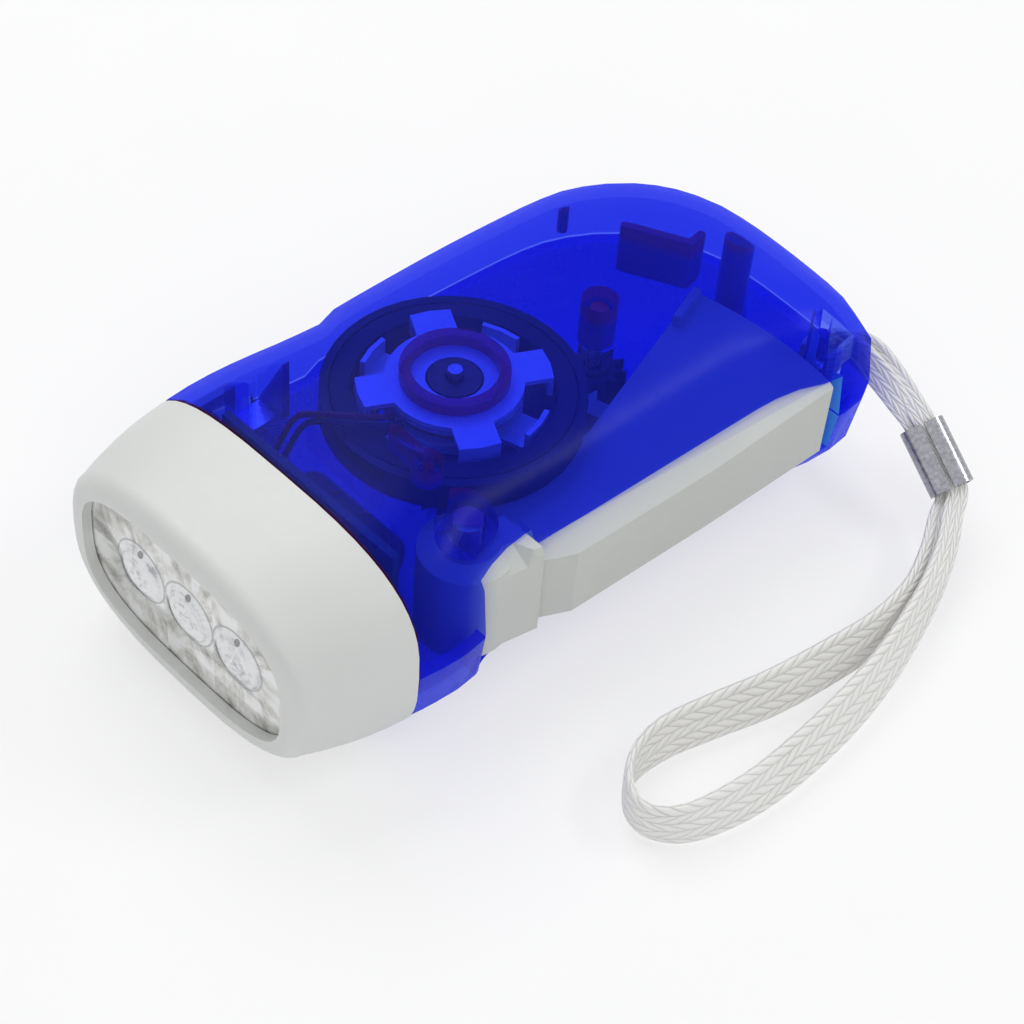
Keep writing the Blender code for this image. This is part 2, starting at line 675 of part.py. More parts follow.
def housing_blank(name, inset, front=0):
    """The housing's whole solid, drawn in on every side by the inset, starting at its front or past it."""
    stations, right, left, tail = housing_outline()
    line = np.vstack((np.column_stack((right, stations)), tail, np.column_stack((-left, stations))[::-1]))
    line = inset_line(line, inset)
    count = len(stations)
    line[:count, 1] = stations
    line[-count:, 1] = stations[::-1]
    middle = (line[:count, 0] + line[-count:, 0][::-1]) / 2
    straight = np.column_stack((middle, stations))
    spine = np.vstack((straight, np.tile(straight[-1], (len(tail), 1)), straight[::-1]))
    drop = FRONT_DROP * np.clip(1 - (spine[:, 1] - HOUSING_FRONT_Y) / FRONT_DROP_LENGTH, 0, 1) ** 2
    height = HOUSING_HALF_HEIGHT - inset - drop
    line[[0, -1], 1] += front
    spine[[0, -1], 1] += front
    power = 2 / SECTION_POWER
    top = math.sin(LEVEL_ANGLES[-1] * DEG) ** power
    levels = [(math.cos(a * DEG) ** power, math.sin(a * DEG) ** power / top) for a in LEVEL_ANGLES]
    levels.append((0, 1))
    rings = []
    for spread, rise in [(s, -r) for s, r in reversed(levels)] + levels[1:]:
        flat = spine + (line - spine) * spread
        rings.append([(x, y, MID_Z + rise * h) for (x, y), h in zip(flat, height)])
    return pillow(name, rings)


def section(y, half, power, offset=0):
    """A superellipse across the torch at one place along it."""
    ring = []
    for a in np.linspace(0, 2 * math.pi, SECTION_POINTS, endpoint=False):
        c, s = math.cos(a), math.sin(a)
        ring.append((offset + half[0] * math.copysign(abs(c) ** (2 / power), c), y,
                     MID_Z + half[1] * math.copysign(abs(s) ** (2 / power), s)))
    return ring


def grown(half, distance):
    return (half[0] + distance, half[1] + distance)


NECK_HALF = grown(HEAD_JOINT_HALF, -HEAD_WALL - CLEARANCE)


def shell_blank(name):
    """Both housing halves in one, hollow and open at the neck."""
    shell = housing_blank(name, 0)
    neck = [section(y, NECK_HALF, SECTION_POWER, HEAD_JOINT_OFFSET)
            for y in (HOUSING_FRONT_Y - NECK_LENGTH, HOUSING_FRONT_Y + HOUSING_WALL)]
    bore = [section(y, grown(NECK_HALF, -NECK_WALL), SECTION_POWER, HEAD_JOINT_OFFSET)
            for y in (HOUSING_FRONT_Y - NECK_LENGTH - OVERRUN, HOUSING_FRONT_Y + HOUSING_WALL + OVERRUN)]
    join(shell, loft(name + "_neck", neck))
    cut(shell, housing_blank(name + "_hollow", HOUSING_WALL, HOUSING_WALL), loft(name + "_neck_bore", bore))
    return shell


def side_slots(name):
    """Cutters for the lever's slot with its taller front, the strap's slot and the switch's slot."""
    far_x = 2 * HOUSING_HALF_WIDTH
    slot = box(name + "_slot", (SLOT_INNER_X, SLOT_FRONT_Y, MID_Z - SLOT_HALF_HEIGHT),
               (far_x, SLOT_REAR_Y, MID_Z + SLOT_HALF_HEIGHT))
    notch = box(name + "_notch", (SLOT_INNER_X, SLOT_FRONT_Y, MID_Z - NOTCH_HALF_HEIGHT),
                (far_x, NOTCH_REAR_Y, MID_Z + NOTCH_HALF_HEIGHT))
    half_x = STRAP_SLOT_WIDTH / 2
    rise = STRAP_SLOT_HEIGHT / 2
    strap = box(name + "_strap", (ANCHOR.x - half_x, ANCHOR.y + ANCHOR_RADIUS, MID_Z - rise),
                (ANCHOR.x + half_x, TAIL_Y + OVERRUN, MID_Z + rise))
    half_y = (SWITCH_STEM.y + SWITCH_TRAVEL) / 2 + CLEARANCE
    middle_y = SWITCH_CENTRE_Y + SWITCH_TRAVEL / 2
    half_z = SWITCH_STEM.z / 2 + CLEARANCE
    switch = box(name + "_switch", (-far_x, middle_y - half_y, MID_Z - half_z),
                 (SWITCH_INNER_X, middle_y + half_y, MID_Z + half_z))
    return slot, notch, strap, switch


def half_space(name, upper):
    """A block that takes away everything below, or above, the parting gap."""
    reach = 2 * HOUSING_LENGTH
    if upper:
        return box(name, (-reach, -reach, -reach), (reach, reach, MID_Z + HALF_GAP))
    return box(name, (-reach, -reach, MID_Z - HALF_GAP), (reach, reach, reach))


def screw_places():
    """The screws' axes, set out from the end of the tail."""
    return [Vector((place.x, TAIL_Y - place.y)) for place in SCREW_PLACES]


def moulded(shell, feature):
    """Joins a post or rib to a shell, ending it half way through the wall."""
    keep(feature, housing_blank(feature.name + "_limit", HOUSING_WALL / 2))
    join(shell, feature)


def upper_shell():
    shell = shell_blank("upper_shell")
    top = 2 * MID_Z
    ring_z = STATOR_TOP + CLEARANCE
    ring = prism("ring_boss", [circle(ROTOR, RING_BOSS_RADIUS, 32),
                               circle(ROTOR, RING_BOSS_RADIUS - RING_BOSS_WALL, 32)], ring_z, top)
    moulded(shell, ring)
    moulded(shell, cylinder("pivot_boss", PIVOT, PIVOT_BOSS_RADIUS, HUB_TOP + 2 * CLEARANCE, top))
    clutch_z = FLYWHEEL_Z + CLUTCH_BOSS_GAP
    moulded(shell, cylinder("clutch_boss", CLUTCH, CLUTCH_BOSS_RADIUS, clutch_z, top, 24))
    over_flywheel = FLYWHEEL_TOP + RUNNING_GAP
    moulded(shell, cylinder("key_boss", KEY_BOSS, KEY_BOSS_RADIUS, over_flywheel, top, 20))
    key_rib = capsule(KEY_TAIL, KEY_BOSS, KEY_RIB / 2)
    moulded(shell, prism("key_rib", [key_rib], over_flywheel + CLEARANCE, top))
    capsule_rib = capsule(*CAPSULE_ENDS, CAPSULE_RIB / 2)
    moulded(shell, prism("capsule_rib", [capsule_rib], top - CAPSULE_DEPTH, top))
    over_lever = MID_Z + LEVER_HALF_HEIGHT + RUNNING_GAP
    for index, ends in enumerate(zip(CORNER_RIB_POINTS, CORNER_RIB_POINTS[1:])):
        corner_rib = capsule(*ends, CORNER_RIB / 2)
        moulded(shell, prism(f"corner_rib_{index}", [corner_rib], over_lever, top))
    moulded(shell, cylinder("peg", PEG, PEG_RADIUS, top - PEG_DEPTH, top, 12))
    for index, place in enumerate(screw_places()):
        moulded(shell, cylinder(f"upper_post_{index}", place, UPPER_POST_RADIUS, MID_Z, top, 20))
        cut(shell, cylinder(f"upper_post_bore_{index}", place, SCREW_RADIUS + CLEARANCE, MID_Z - OVERRUN,
                            SCREW_SEAT_Z + SCREW_LENGTH + CLEARANCE, SHAFT_SIDES))
    for index, rib in enumerate(switch_cradle("upper", MID_Z + SWITCH_BODY_SIZE.z / 2 + CLEARANCE, top)):
        moulded(shell, rib)
    for rib in board_ribs("upper", MID_Z, top):
        moulded(shell, rib)
    cut(shell, cylinder("pivot_boss_bore", PIVOT, STUB_RADIUS + CLEARANCE, MID_Z,
                        HUB_TOP + STUB_LENGTH + CLEARANCE, 24))
    cut(shell, cylinder("clutch_boss_bore", CLUTCH, BORE_RADIUS, MID_Z,
                        clutch_z + 2 * CLUTCH_BOSS_RADIUS + CLEARANCE, SHAFT_SIDES))
    cut(shell, cylinder("key_bore", KEY_BOSS, KEY_BORE_RADIUS, MID_Z, top - HOUSING_WALL, 12))
    cut(shell, half_space("below_parting", True), *side_slots("upper"))
    return finish(shell, blue())


def lower_shell():
    shell = shell_blank("lower_shell")
    floor = 0
    posts = (("rotor", ROTOR, IDLER_GEAR_Z - 2 * CLEARANCE), ("clutch", CLUTCH, CLUTCH_GEAR_Z - CLEARANCE),
             ("idler", idler_place(), CLUTCH_GEAR_Z - 2 * CLEARANCE))
    for name, place, high in posts:
        moulded(shell, cylinder(name + "_post", place, 2 * BORE_RADIUS, floor, high, 24))
    moulded(shell, cylinder("pivot_post", PIVOT, PIVOT_BOSS_RADIUS, floor, HUB_BOTTOM - 2 * CLEARANCE, 24))
    under_lever = MID_Z - LEVER_HALF_HEIGHT - RUNNING_GAP
    moulded(shell, cylinder("spring_core", SPRING_PLACE, SPRING_CORE_RADIUS, floor, under_lever, 20))
    moulded(shell, cylinder("spring_post", spring_post_place(), SPRING_POST_RADIUS, floor, under_lever, 12))
    for index, place in enumerate(screw_places()):
        high = MID_Z - HALF_GAP
        moulded(shell, cylinder(f"lower_post_{index}", place, LOWER_POST_RADIUS, floor, high, 20))
    for rib in cell_cradle():
        moulded(shell, rib)
    for rib in switch_cradle("lower", floor, MID_Z - SWITCH_BODY_SIZE.z / 2 - CLEARANCE):
        moulded(shell, rib)
    for rib in board_ribs("lower", floor, MID_Z):
        moulded(shell, rib)
    for name, place, high in posts:
        cut(shell, cylinder(name + "_post_bore", place, BORE_RADIUS, HOUSING_WALL, MID_Z, SHAFT_SIDES))
    cut(shell, cylinder("pivot_post_bore", PIVOT, STUB_RADIUS + CLEARANCE,
                        HUB_BOTTOM - STUB_LENGTH - CLEARANCE, MID_Z, 24))
    for index, place in enumerate(screw_places()):
        cut(shell, cylinder(f"screw_hole_{index}", place, SCREW_RADIUS + CLEARANCE, floor, MID_Z + OVERRUN,
                            SHAFT_SIDES))
        cut(shell, cylinder(f"screw_recess_{index}", place, SCREW_HEAD_RADIUS + CLEARANCE, -OVERRUN,
                            SCREW_SEAT_Z, 20))
    cut(shell, half_space("above_parting", False), *side_slots("lower"))
    moulded(shell, cylinder("strap_anchor", ANCHOR, ANCHOR_RADIUS, floor, MID_Z + STRAP_SLOT_HEIGHT / 2, 16))
    return finish(shell, blue())


def switch_cradle(side, low, high):
    """Two ribs that hold the switch body from above or from below."""
    x = SWITCH_INNER_X
    ribs = []
    for index, end in enumerate((-1, 1)):
        y = SWITCH_CENTRE_Y + SWITCH_TRAVEL / 2 + end * SWITCH_BODY_SIZE.y * SWITCH_CRADLE_SHARE
        ribs.append(box(f"{side}_switch_rib_{index}", (x, y - SWITCH_CRADLE / 2, low),
                        (x + SWITCH_BODY_SIZE.x + SWITCH_CRADLE, y + SWITCH_CRADLE / 2, high)))
    return ribs


def board_y():
    return HOUSING_FRONT_Y + HOUSING_WALL + BOARD_FROM_FRONT


def board_ribs(side, low, high):
    """Two upright ribs behind the board's ends."""
    back = board_y() + BOARD_THICKNESS + CLEARANCE
    ribs = []
    for index, end in enumerate((-1, 1)):
        x = end * (BOARD_HALF_WIDTH - BOARD_RIB_OVERLAP)
        ribs.append(box(f"{side}_board_rib_{index}", (x - BOARD_RIB_THICKNESS / 2, back, low),
                        (x + BOARD_RIB_THICKNESS / 2, back + 2 * BOARD_RIB_THICKNESS, high)))
    return ribs


def cell_cradle():
    """Two low ribs across the floor, hollowed to the cells' round."""
    z = cell_height()
    wide, low = [CELL_RADIUS * share for share in CELL_RIB_SHARES]
    ribs = []
    for index, end in enumerate((-1, 1)):
        x = CELL_CENTRE.x + end * CELL_THICKNESS
        rib = box(f"cell_rib_{index}", (x - CELL_RIB / 2, CELL_CENTRE.y - wide, 0),
                  (x + CELL_RIB / 2, CELL_CENTRE.y + wide, z - low))
        bed = turned(f"cell_bed_{index}", [(0, -CELL_RIB), (CELL_RADIUS + CLEARANCE, -CELL_RIB),
                                           (CELL_RADIUS + CLEARANCE, CELL_RIB), (0, CELL_RIB)], 32)
        bed.matrix_world = (Matrix.Translation((x, CELL_CENTRE.y, z))
                            @ Matrix.Rotation(math.pi / 2, 4, "Y"))
        cut(rib, bed)
        ribs.append(rib)
    return ribs


# Head

def head_bezel():
    """The grey head: a skin that widens back to the housing, with a rounded rim and a stadium mouth."""
    front, back = HEAD_FRONT_Y, HOUSING_FRONT_Y - CLEARANCE
    rings = []
    rim_width = HEAD_RIM_HALF[0] - HEAD_MOUTH_HALF[0] - RIM_LIP
    rim_height = HEAD_RIM_HALF[1] - HEAD_MOUTH_HALF[1] - RIM_LIP
    for a in np.linspace(0, math.pi / 2, RIM_RINGS):
        half = (HEAD_MOUTH_HALF[0] + RIM_LIP + rim_width * math.sin(a),
                HEAD_MOUTH_HALF[1] + RIM_LIP + rim_height * math.sin(a))
        rings.append(section(front + RIM_DEPTH * (1 - math.cos(a)), half, RIM_POWER))
    for share in np.linspace(0, 1, RIM_RINGS)[1:]:
        swell = share + HEAD_BULGE_SHARE * share * (1 - share)
        half = [rim + (joint - rim) * swell for rim, joint in zip(HEAD_RIM_HALF, HEAD_JOINT_HALF)]
        power = RIM_POWER + (SECTION_POWER - RIM_POWER) * share
        rings.append(section(front + RIM_DEPTH + (back - front - RIM_DEPTH) * share, half, power,
                             HEAD_JOINT_OFFSET * share))
    bezel = loft("head_bezel", rings)
    socket_y = HOUSING_FRONT_Y - NECK_LENGTH - CLEARANCE
    socket = [section(y, grown(NECK_HALF, CLEARANCE), SECTION_POWER, HEAD_JOINT_OFFSET)
              for y in (socket_y, back + OVERRUN)]
    seat = grown(HEAD_MOUTH_HALF, WINDOW_OVERLAP + CLEARANCE)
    inside = [section(WINDOW_Y, seat, MOUTH_POWER), section(FLANGE_Y + FLANGE_THICKNESS, seat, MOUTH_POWER),
              section(socket_y + HEAD_WALL, grown(NECK_HALF, -HEAD_WALL), SECTION_POWER, HEAD_JOINT_OFFSET)]
    mouth = [section(y, HEAD_MOUTH_HALF, MOUTH_POWER) for y in (front - OVERRUN, WINDOW_Y + HEAD_WALL)]
    cut(bezel, loft("head_socket", socket), loft("head_inside", inside), loft("head_mouth", mouth))
    return finish(bezel, grey())


def lamp_places():
    return [(index - (LAMP_COUNT - 1) / 2) * LENS_PITCH for index in range(LAMP_COUNT)]


def lens_window():
    """The clear window, with three round convex lenses on its face."""
    half = grown(HEAD_MOUTH_HALF, WINDOW_OVERLAP)
    front = WINDOW_Y + CLEARANCE / 2
    window = loft("lens_window", [section(y, half, MOUTH_POWER) for y in (front, front + WINDOW_THICKNESS)])
    radius = (LENS_RADIUS**2 + LENS_RISE**2) / (2 * LENS_RISE)
    widest = math.asin(LENS_RADIUS / radius)
    base = -WINDOW_THICKNESS / 2
    dome = [(radius * math.sin(a), LENS_RISE - radius * (1 - math.cos(a)))
            for a in np.linspace(0, widest, DOME_POINTS)]
    profile = [*dome, (LENS_RADIUS, base), (0, base)]
    for index, x in enumerate(lamp_places()):
        join(window, turned(f"lens_{index}", profile, 24, (x, front, MID_Z), forward=True))
    return finish(window, material("clear_plastic", CLEAR_PLASTIC, 0.05))


def cup_profile(grow):
    """Half of a parabola from the cup's throat to its mouth, moved out by the wall."""
    profile = []
    for share in np.linspace(0, 1, DOME_POINTS):
        radius = CUP_THROAT_RADIUS + (CUP_MOUTH_RADIUS - CUP_THROAT_RADIUS) * share
        profile.append((radius + grow, share**2 * CUP_DEPTH))
    return profile


def reflector():
    """Three thin cups joined by a flange that lies behind the window."""
    half = grown(HEAD_MOUTH_HALF, WINDOW_OVERLAP)
    throat_y = FLANGE_Y + CUP_DEPTH
    flange = [section(y, half, MOUTH_POWER) for y in (FLANGE_Y, FLANGE_Y + FLANGE_THICKNESS)]
    shape = loft("reflector", flange)
    for index, x in enumerate(lamp_places()):
        outer = [(0, 0), *cup_profile(CUP_WALL)]
        outer[-1] = (outer[-1][0], CUP_DEPTH - FLANGE_THICKNESS / 2)
        outer.append((0, CUP_DEPTH - FLANGE_THICKNESS / 2))
        join(shape, turned(f"cup_{index}", outer, 18, (x, throat_y, MID_Z), forward=True))
    for index, x in enumerate(lamp_places()):
        inner = cup_profile(0)
        hollow = [(0, -OVERRUN), (inner[0][0], -OVERRUN), *inner[1:-1], (inner[-1][0], CUP_DEPTH + OVERRUN),
                  (0, CUP_DEPTH + OVERRUN)]
        cut(shape, turned(f"cup_hollow_{index}", hollow, 18, (x, throat_y, MID_Z), forward=True))
    return finish(shape, material("chrome", CHROME, 0.08, 1))


def led_base_y():
    return FLANGE_Y + CUP_DEPTH + LED_THROAT_GAP


def led(index, x):
    """A domed LED with its flange and its two leads, which reach the board."""
    base = led_base_y()
    straight = LED_LENGTH - LED_RADIUS
    dome = [(LED_RADIUS * math.cos(a), straight + LED_RADIUS * math.sin(a))
            for a in np.linspace(0, math.pi / 2, DOME_POINTS)]
    profile = [(0, 0), (LED_FLANGE_RADIUS, 0), (LED_FLANGE_RADIUS, LED_FLANGE_THICKNESS),
               (LED_RADIUS, LED_FLANGE_THICKNESS), *dome[:-1], (0, LED_LENGTH)]
    body = turned(f"led_{index + 1}", profile, 16, (x, base, MID_Z), forward=True)
    half = LED_LEAD_SIZE / 2
    for side, end in enumerate((-1, 1)):
        lead_x = x + end * LED_LEAD_PITCH / 2
        join(body, box(f"led_{index}_lead_{side}",
                       (lead_x - half, base - LED_FLANGE_THICKNESS / 2, MID_Z - half),
                       (lead_x + half, board_y() - CLEARANCE, MID_Z + half)))
    return finish(body, material("led_epoxy", CLEAR_PLASTIC, 0.1))


def lamp_board():
    low = board_y()
    board = box("lamp_board", (-BOARD_HALF_WIDTH, low, MID_Z - BOARD_HALF_HEIGHT),
                (BOARD_HALF_WIDTH, low + BOARD_THICKNESS, MID_Z + BOARD_HALF_HEIGHT))
    return finish(board, material("board_green", BOARD_GREEN, 0.5))


# Gears

def involute(angle):
    return math.tan(angle) - angle


def tooth_flank(teeth):
    """Half thickness of a tooth, as an angle, at its root and at its tip."""
    pitch_radius = MODULE * teeth / 2
    base_radius = pitch_radius * math.cos(PRESSURE_ANGLE)
    half = (math.pi * MODULE / 2 - BACKLASH) / (2 * pitch_radius)
    root = pitch_radius - DEDENDUM_SHARE * MODULE
    tip = pitch_radius + ADDENDUM_SHARE * MODULE
    flank = []
    for radius in (root, tip):
        pressure = math.acos(min(1, base_radius / radius))
        flank.append((radius, half + involute(PRESSURE_ANGLE) - involute(pressure)))
    return flank


def gear_teeth(place, teeth, phase, first=0, count=None):
    """Points round a gear, or round some of its teeth; the first tooth is centred on the phase."""
    flank = tooth_flank(teeth)
    points = []
    for index in range(first, first + (count or teeth)):
        middle = phase + index * 2 * math.pi / teeth
        up = [(radius, middle - half) for radius, half in flank]
        down = [(radius, middle + half) for radius, half in reversed(flank)]
        for radius, angle in up + down:
            points.append((place[0] + radius * math.cos(angle), place[1] + radius * math.sin(angle)))
    return points


def bearing(first, second):
    return math.atan2(second[1] - first[1], second[0] - first[0])


def meshing_phase(phase, teeth, direction, other_teeth):
    """The phase of the other gear that puts its gap where this gear has its tooth."""
    offset = (phase - direction) * teeth / (2 * math.pi)
    return direction + math.pi + (0.5 - offset) * 2 * math.pi / other_teeth


def idler_place():
    """The idler's axis, at its meshing distance from both the clutch gear and the rotor pinion."""
    to_clutch = MODULE * (CLUTCH_GEAR_TEETH + IDLER_PINION_TEETH) / 2
    to_rotor = MODULE * (IDLER_GEAR_TEETH + ROTOR_PINION_TEETH) / 2
    apart = (CLUTCH - ROTOR).length
    along = (to_rotor**2 - to_clutch**2 + apart**2) / (2 * apart)
    across = math.sqrt(to_rotor**2 - along**2)
    ahead = (CLUTCH - ROTOR) / apart
    return ROTOR + along * ahead + across * Vector((-ahead.y, ahead.x))


SECTOR_PHASE = bearing(PIVOT, CLUTCH)
INPUT_PHASE = meshing_phase(SECTOR_PHASE, SECTOR_CIRCLE_TEETH, bearing(PIVOT, CLUTCH), INPUT_PINION_TEETH)
IDLER_PINION_PHASE = meshing_phase(0, CLUTCH_GEAR_TEETH, bearing(CLUTCH, idler_place()), IDLER_PINION_TEETH)
ROTOR_PHASE = meshing_phase(0, IDLER_GEAR_TEETH, bearing(idler_place(), ROTOR), ROTOR_PINION_TEETH)


def ratchet_outline(outer, depth, teeth, first=0):
    """Saw teeth that point inward, each a ramp and a step."""
    points = []
    for index in range(teeth):
        angle = first + index * 2 * math.pi / teeth
        points.append((CLUTCH[0] + outer * math.cos(angle), CLUTCH[1] + outer * math.sin(angle)))
        step = angle + 2 * math.pi / teeth * RATCHET_RAMP_SHARE
        inner = outer - depth
        points.append((CLUTCH[0] + inner * math.cos(step), CLUTCH[1] + inner * math.sin(step)))
    return points


def tube(name, place, radius, low, high):
    """A hub with the shafts' bore through it."""
    profile = [(BORE_RADIUS, low), (radius, low), (radius, high), (BORE_RADIUS, high)]
    return turned(name, profile, 24, (*place, 0), closed=True)


def tube_middle(radius):
    """Where the hole of a gear lies inside its hub's wall."""
    return (BORE_RADIUS + radius) / 2


def clutch_gear():
    """The large gear of the clutch, with a ratchet ring sunk into its upper face."""
    outlines = [gear_teeth(CLUTCH, CLUTCH_GEAR_TEETH, 0), circle(CLUTCH, BORE_RADIUS, SHAFT_SIDES)]
    gear = prism("clutch_gear", outlines, CLUTCH_GEAR_Z, CLUTCH_GEAR_TOP)
    recess_z = CLUTCH_GEAR_TOP - RATCHET_DEPTH
    recess = prism("ratchet_recess", [ratchet_outline(RATCHET_RADIUS, RATCHET_TOOTH, RATCHET_TEETH)],
                   recess_z, CLUTCH_GEAR_TOP + OVERRUN)
    cut(gear, recess)
    return finish(gear, dark(), (*CLUTCH, CLUTCH_GEAR_Z))


def pawl_outline():
    """Three swept pawls round the pinion's foot, just short of the ratchet teeth."""
    tip = RATCHET_RADIUS - RATCHET_TOOTH - RUNNING_GAP
    foot = PINION_NECK_RADIUS + RATCHET_TOOTH
    points = []
    for index in range(PAWL_COUNT):
        angle = index * 2 * math.pi / PAWL_COUNT
        for share in np.linspace(0, 1, PAWL_POINTS):
            radius = foot + (tip - foot) * share**PAWL_POWER
            turn = angle + share * PAWL_SWEEP_SHARE * 2 * math.pi / PAWL_COUNT
            points.append((CLUTCH[0] + radius * math.cos(turn), CLUTCH[1] + radius * math.sin(turn)))
    return points


def input_pinion():
    """The pinion that the lever's arc turns, on a neck that carries the pawls down into the clutch gear."""
    foot = CLUTCH_GEAR_TOP - RATCHET_DEPTH + CLEARANCE
    low, high = MID_Z - INPUT_PINION_HALF_WIDTH, MID_Z + INPUT_PINION_HALF_WIDTH
    pinion = tube("input_pinion", CLUTCH, PINION_NECK_RADIUS, foot, high + 2 * CLEARANCE)
    eye = circle(CLUTCH, tube_middle(PINION_NECK_RADIUS), SHAFT_SIDES)
    join(pinion, prism("input_teeth", [gear_teeth(CLUTCH, INPUT_PINION_TEETH, INPUT_PHASE), eye], low, high))
    join(pinion, prism("pawls", [pawl_outline(), eye], foot + CLEARANCE, CLUTCH_GEAR_TOP))
    return finish(pinion, nylon(), (*CLUTCH, foot))


def idler_gear():
    place = idler_place()
    low = CLUTCH_GEAR_Z - CLEARANCE
    gear = tube("idler_gear", place, IDLER_HUB_RADIUS, low, IDLER_GEAR_TOP + IDLER_HUB_HEIGHT)
    eye = circle(place, tube_middle(IDLER_HUB_RADIUS), SHAFT_SIDES)
    wheel = gear_teeth(place, IDLER_GEAR_TEETH, 0)
    join(gear, prism("idler_teeth", [wheel, eye], IDLER_GEAR_Z, IDLER_GEAR_TOP))
    pinion = gear_teeth(place, IDLER_PINION_TEETH, IDLER_PINION_PHASE)
    join(gear, prism("idler_pinion", [pinion, eye], low + CLEARANCE, IDLER_GEAR_Z + IDLER_GEAR_THICKNESS / 2))
    return finish(gear, dark(), (*place, low))


def shafts():
    """The three steel shafts, standing on the floor of their posts."""
    low = HOUSING_WALL + CLEARANCE
    for name, place, high in (("clutch_shaft", CLUTCH, FLYWHEEL_Z + CLUTCH_BOSS_GAP + 2 * CLUTCH_BOSS_RADIUS),
                              ("idler_shaft", idler_place(), IDLER_GEAR_TOP + IDLER_HUB_HEIGHT + CLEARANCE),
                              ("rotor_shaft", ROTOR, 2 * MID_Z - HOUSING_WALL - RUNNING_GAP)):
        finish(cylinder(name, place, SHAFT_RADIUS, low, high, SHAFT_SIDES), steel(), (*place, low))


# Generator

def flywheel():
    """A shallow cup on a long hub, with the rotor pinion at the hub's foot."""
    pinion_low = IDLER_GEAR_Z - ROTOR_PINION_OVERLAP
    pinion_high = IDLER_GEAR_TOP + ROTOR_PINION_OVERLAP
    inner = FLYWHEEL_RADIUS - FLYWHEEL_RIM
    web_top = FLYWHEEL_Z + FLYWHEEL_WEB
    profile = [(BORE_RADIUS, web_top), (BORE_RADIUS, pinion_low), (ROTOR_HUB_RADIUS, pinion_low),
               (ROTOR_HUB_RADIUS, FLYWHEEL_Z), (FLYWHEEL_RADIUS, FLYWHEEL_Z), (FLYWHEEL_RADIUS, FLYWHEEL_TOP),
               (inner, FLYWHEEL_TOP), (inner, web_top)]
    wheel = turned("flywheel", profile, 36, (*ROTOR, 0), closed=True)
    window_ring = (ROTOR_HUB_RADIUS + MAGNET_OUTER_RADIUS - MAGNET_THICKNESS) / 2
    for index in range(FLYWHEEL_WINDOW_COUNT):
        angle = index * 2 * math.pi / FLYWHEEL_WINDOW_COUNT
        place = ROTOR + window_ring * Vector((math.cos(angle), math.sin(angle)))
        cut(wheel, cylinder(f"flywheel_window_{index}", place, FLYWHEEL_WINDOW_RADIUS, FLYWHEEL_Z - OVERRUN,
                            FLYWHEEL_TOP, 12))
    eye = circle(ROTOR, tube_middle(ROTOR_HUB_RADIUS), SHAFT_SIDES)
    join(wheel, prism("rotor_pinion", [gear_teeth(ROTOR, ROTOR_PINION_TEETH, ROTOR_PHASE), eye],
                      pinion_low + CLEARANCE / 2, pinion_high))
    return finish(wheel, dark(), (*ROTOR, pinion_low))


def ring_magnet():
    low = FLYWHEEL_Z + FLYWHEEL_WEB + CLEARANCE
    inner = MAGNET_OUTER_RADIUS - MAGNET_THICKNESS
    profile = [(MAGNET_OUTER_RADIUS, low), (MAGNET_OUTER_RADIUS, FLYWHEEL_TOP), (inner, FLYWHEEL_TOP),
               (inner, low)]
    ring = turned("ring_magnet", profile, 36, (*ROTOR, 0), closed=True)
    return finish(ring, material("ferrite", FERRITE, 0.6), (*ROTOR, low))


def claw_outline(turn):
    """A disc with arms: each arm's two sides, then the disc's arc to the next arm."""
    half_arm = math.asin(CLAW_WIDTH / 2 / PLATE_RADIUS)
    tip_half = math.asin(CLAW_WIDTH / 2 / CLAW_RADIUS)
    step = 2 * math.pi / CLAW_COUNT
    points = []
    for index in range(CLAW_COUNT):
        middle = turn + index * step
        points += arc(ROTOR, CLAW_RADIUS, middle - tip_half, middle + tip_half, 3)
        points += arc(ROTOR, PLATE_RADIUS, middle + half_arm, middle + step - half_arm, 6)
    return points


def claw_plate(name, turn, plate_z, claw_low, claw_high):
    """A flat pole plate whose arms end in claws bent square to it."""
    plate = prism(name, [claw_outline(turn)], plate_z, plate_z + CLAW_THICKNESS)
    tip_half = math.asin(CLAW_WIDTH / 2 / CLAW_RADIUS)
    for index in range(CLAW_COUNT):
        middle = turn + index * 2 * math.pi / CLAW_COUNT
        claw = (arc(ROTOR, CLAW_RADIUS, middle - tip_half, middle + tip_half, 3)
                + arc(ROTOR, CLAW_RADIUS - CLAW_THICKNESS, middle + tip_half, middle - tip_half, 3))
        join(plate, prism(f"{name}_claw_{index}", [claw], claw_low, claw_high))
    cut(plate, cylinder(name + "_eye", ROTOR, POLE_RADIUS + CLEARANCE, 0, 2 * MID_Z, 24))
    return finish(plate, steel(), (*ROTOR, plate_z))


def claw_plates():
    """Two plates with their claws between each other's."""
    upper_low = STATOR_TOP - CLAW_THICKNESS - CLAW_DROP
    lower_high = LOWER_PLATE_Z + CLAW_THICKNESS + CLAW_DROP
    half_step = math.pi / CLAW_COUNT
    claw_plate("claw_plate_upper", CLAW_BEARING, UPPER_PLATE_Z, upper_low, STATOR_TOP)
    claw_plate("claw_plate_lower", CLAW_BEARING + half_step, LOWER_PLATE_Z, LOWER_PLATE_Z, lower_high)


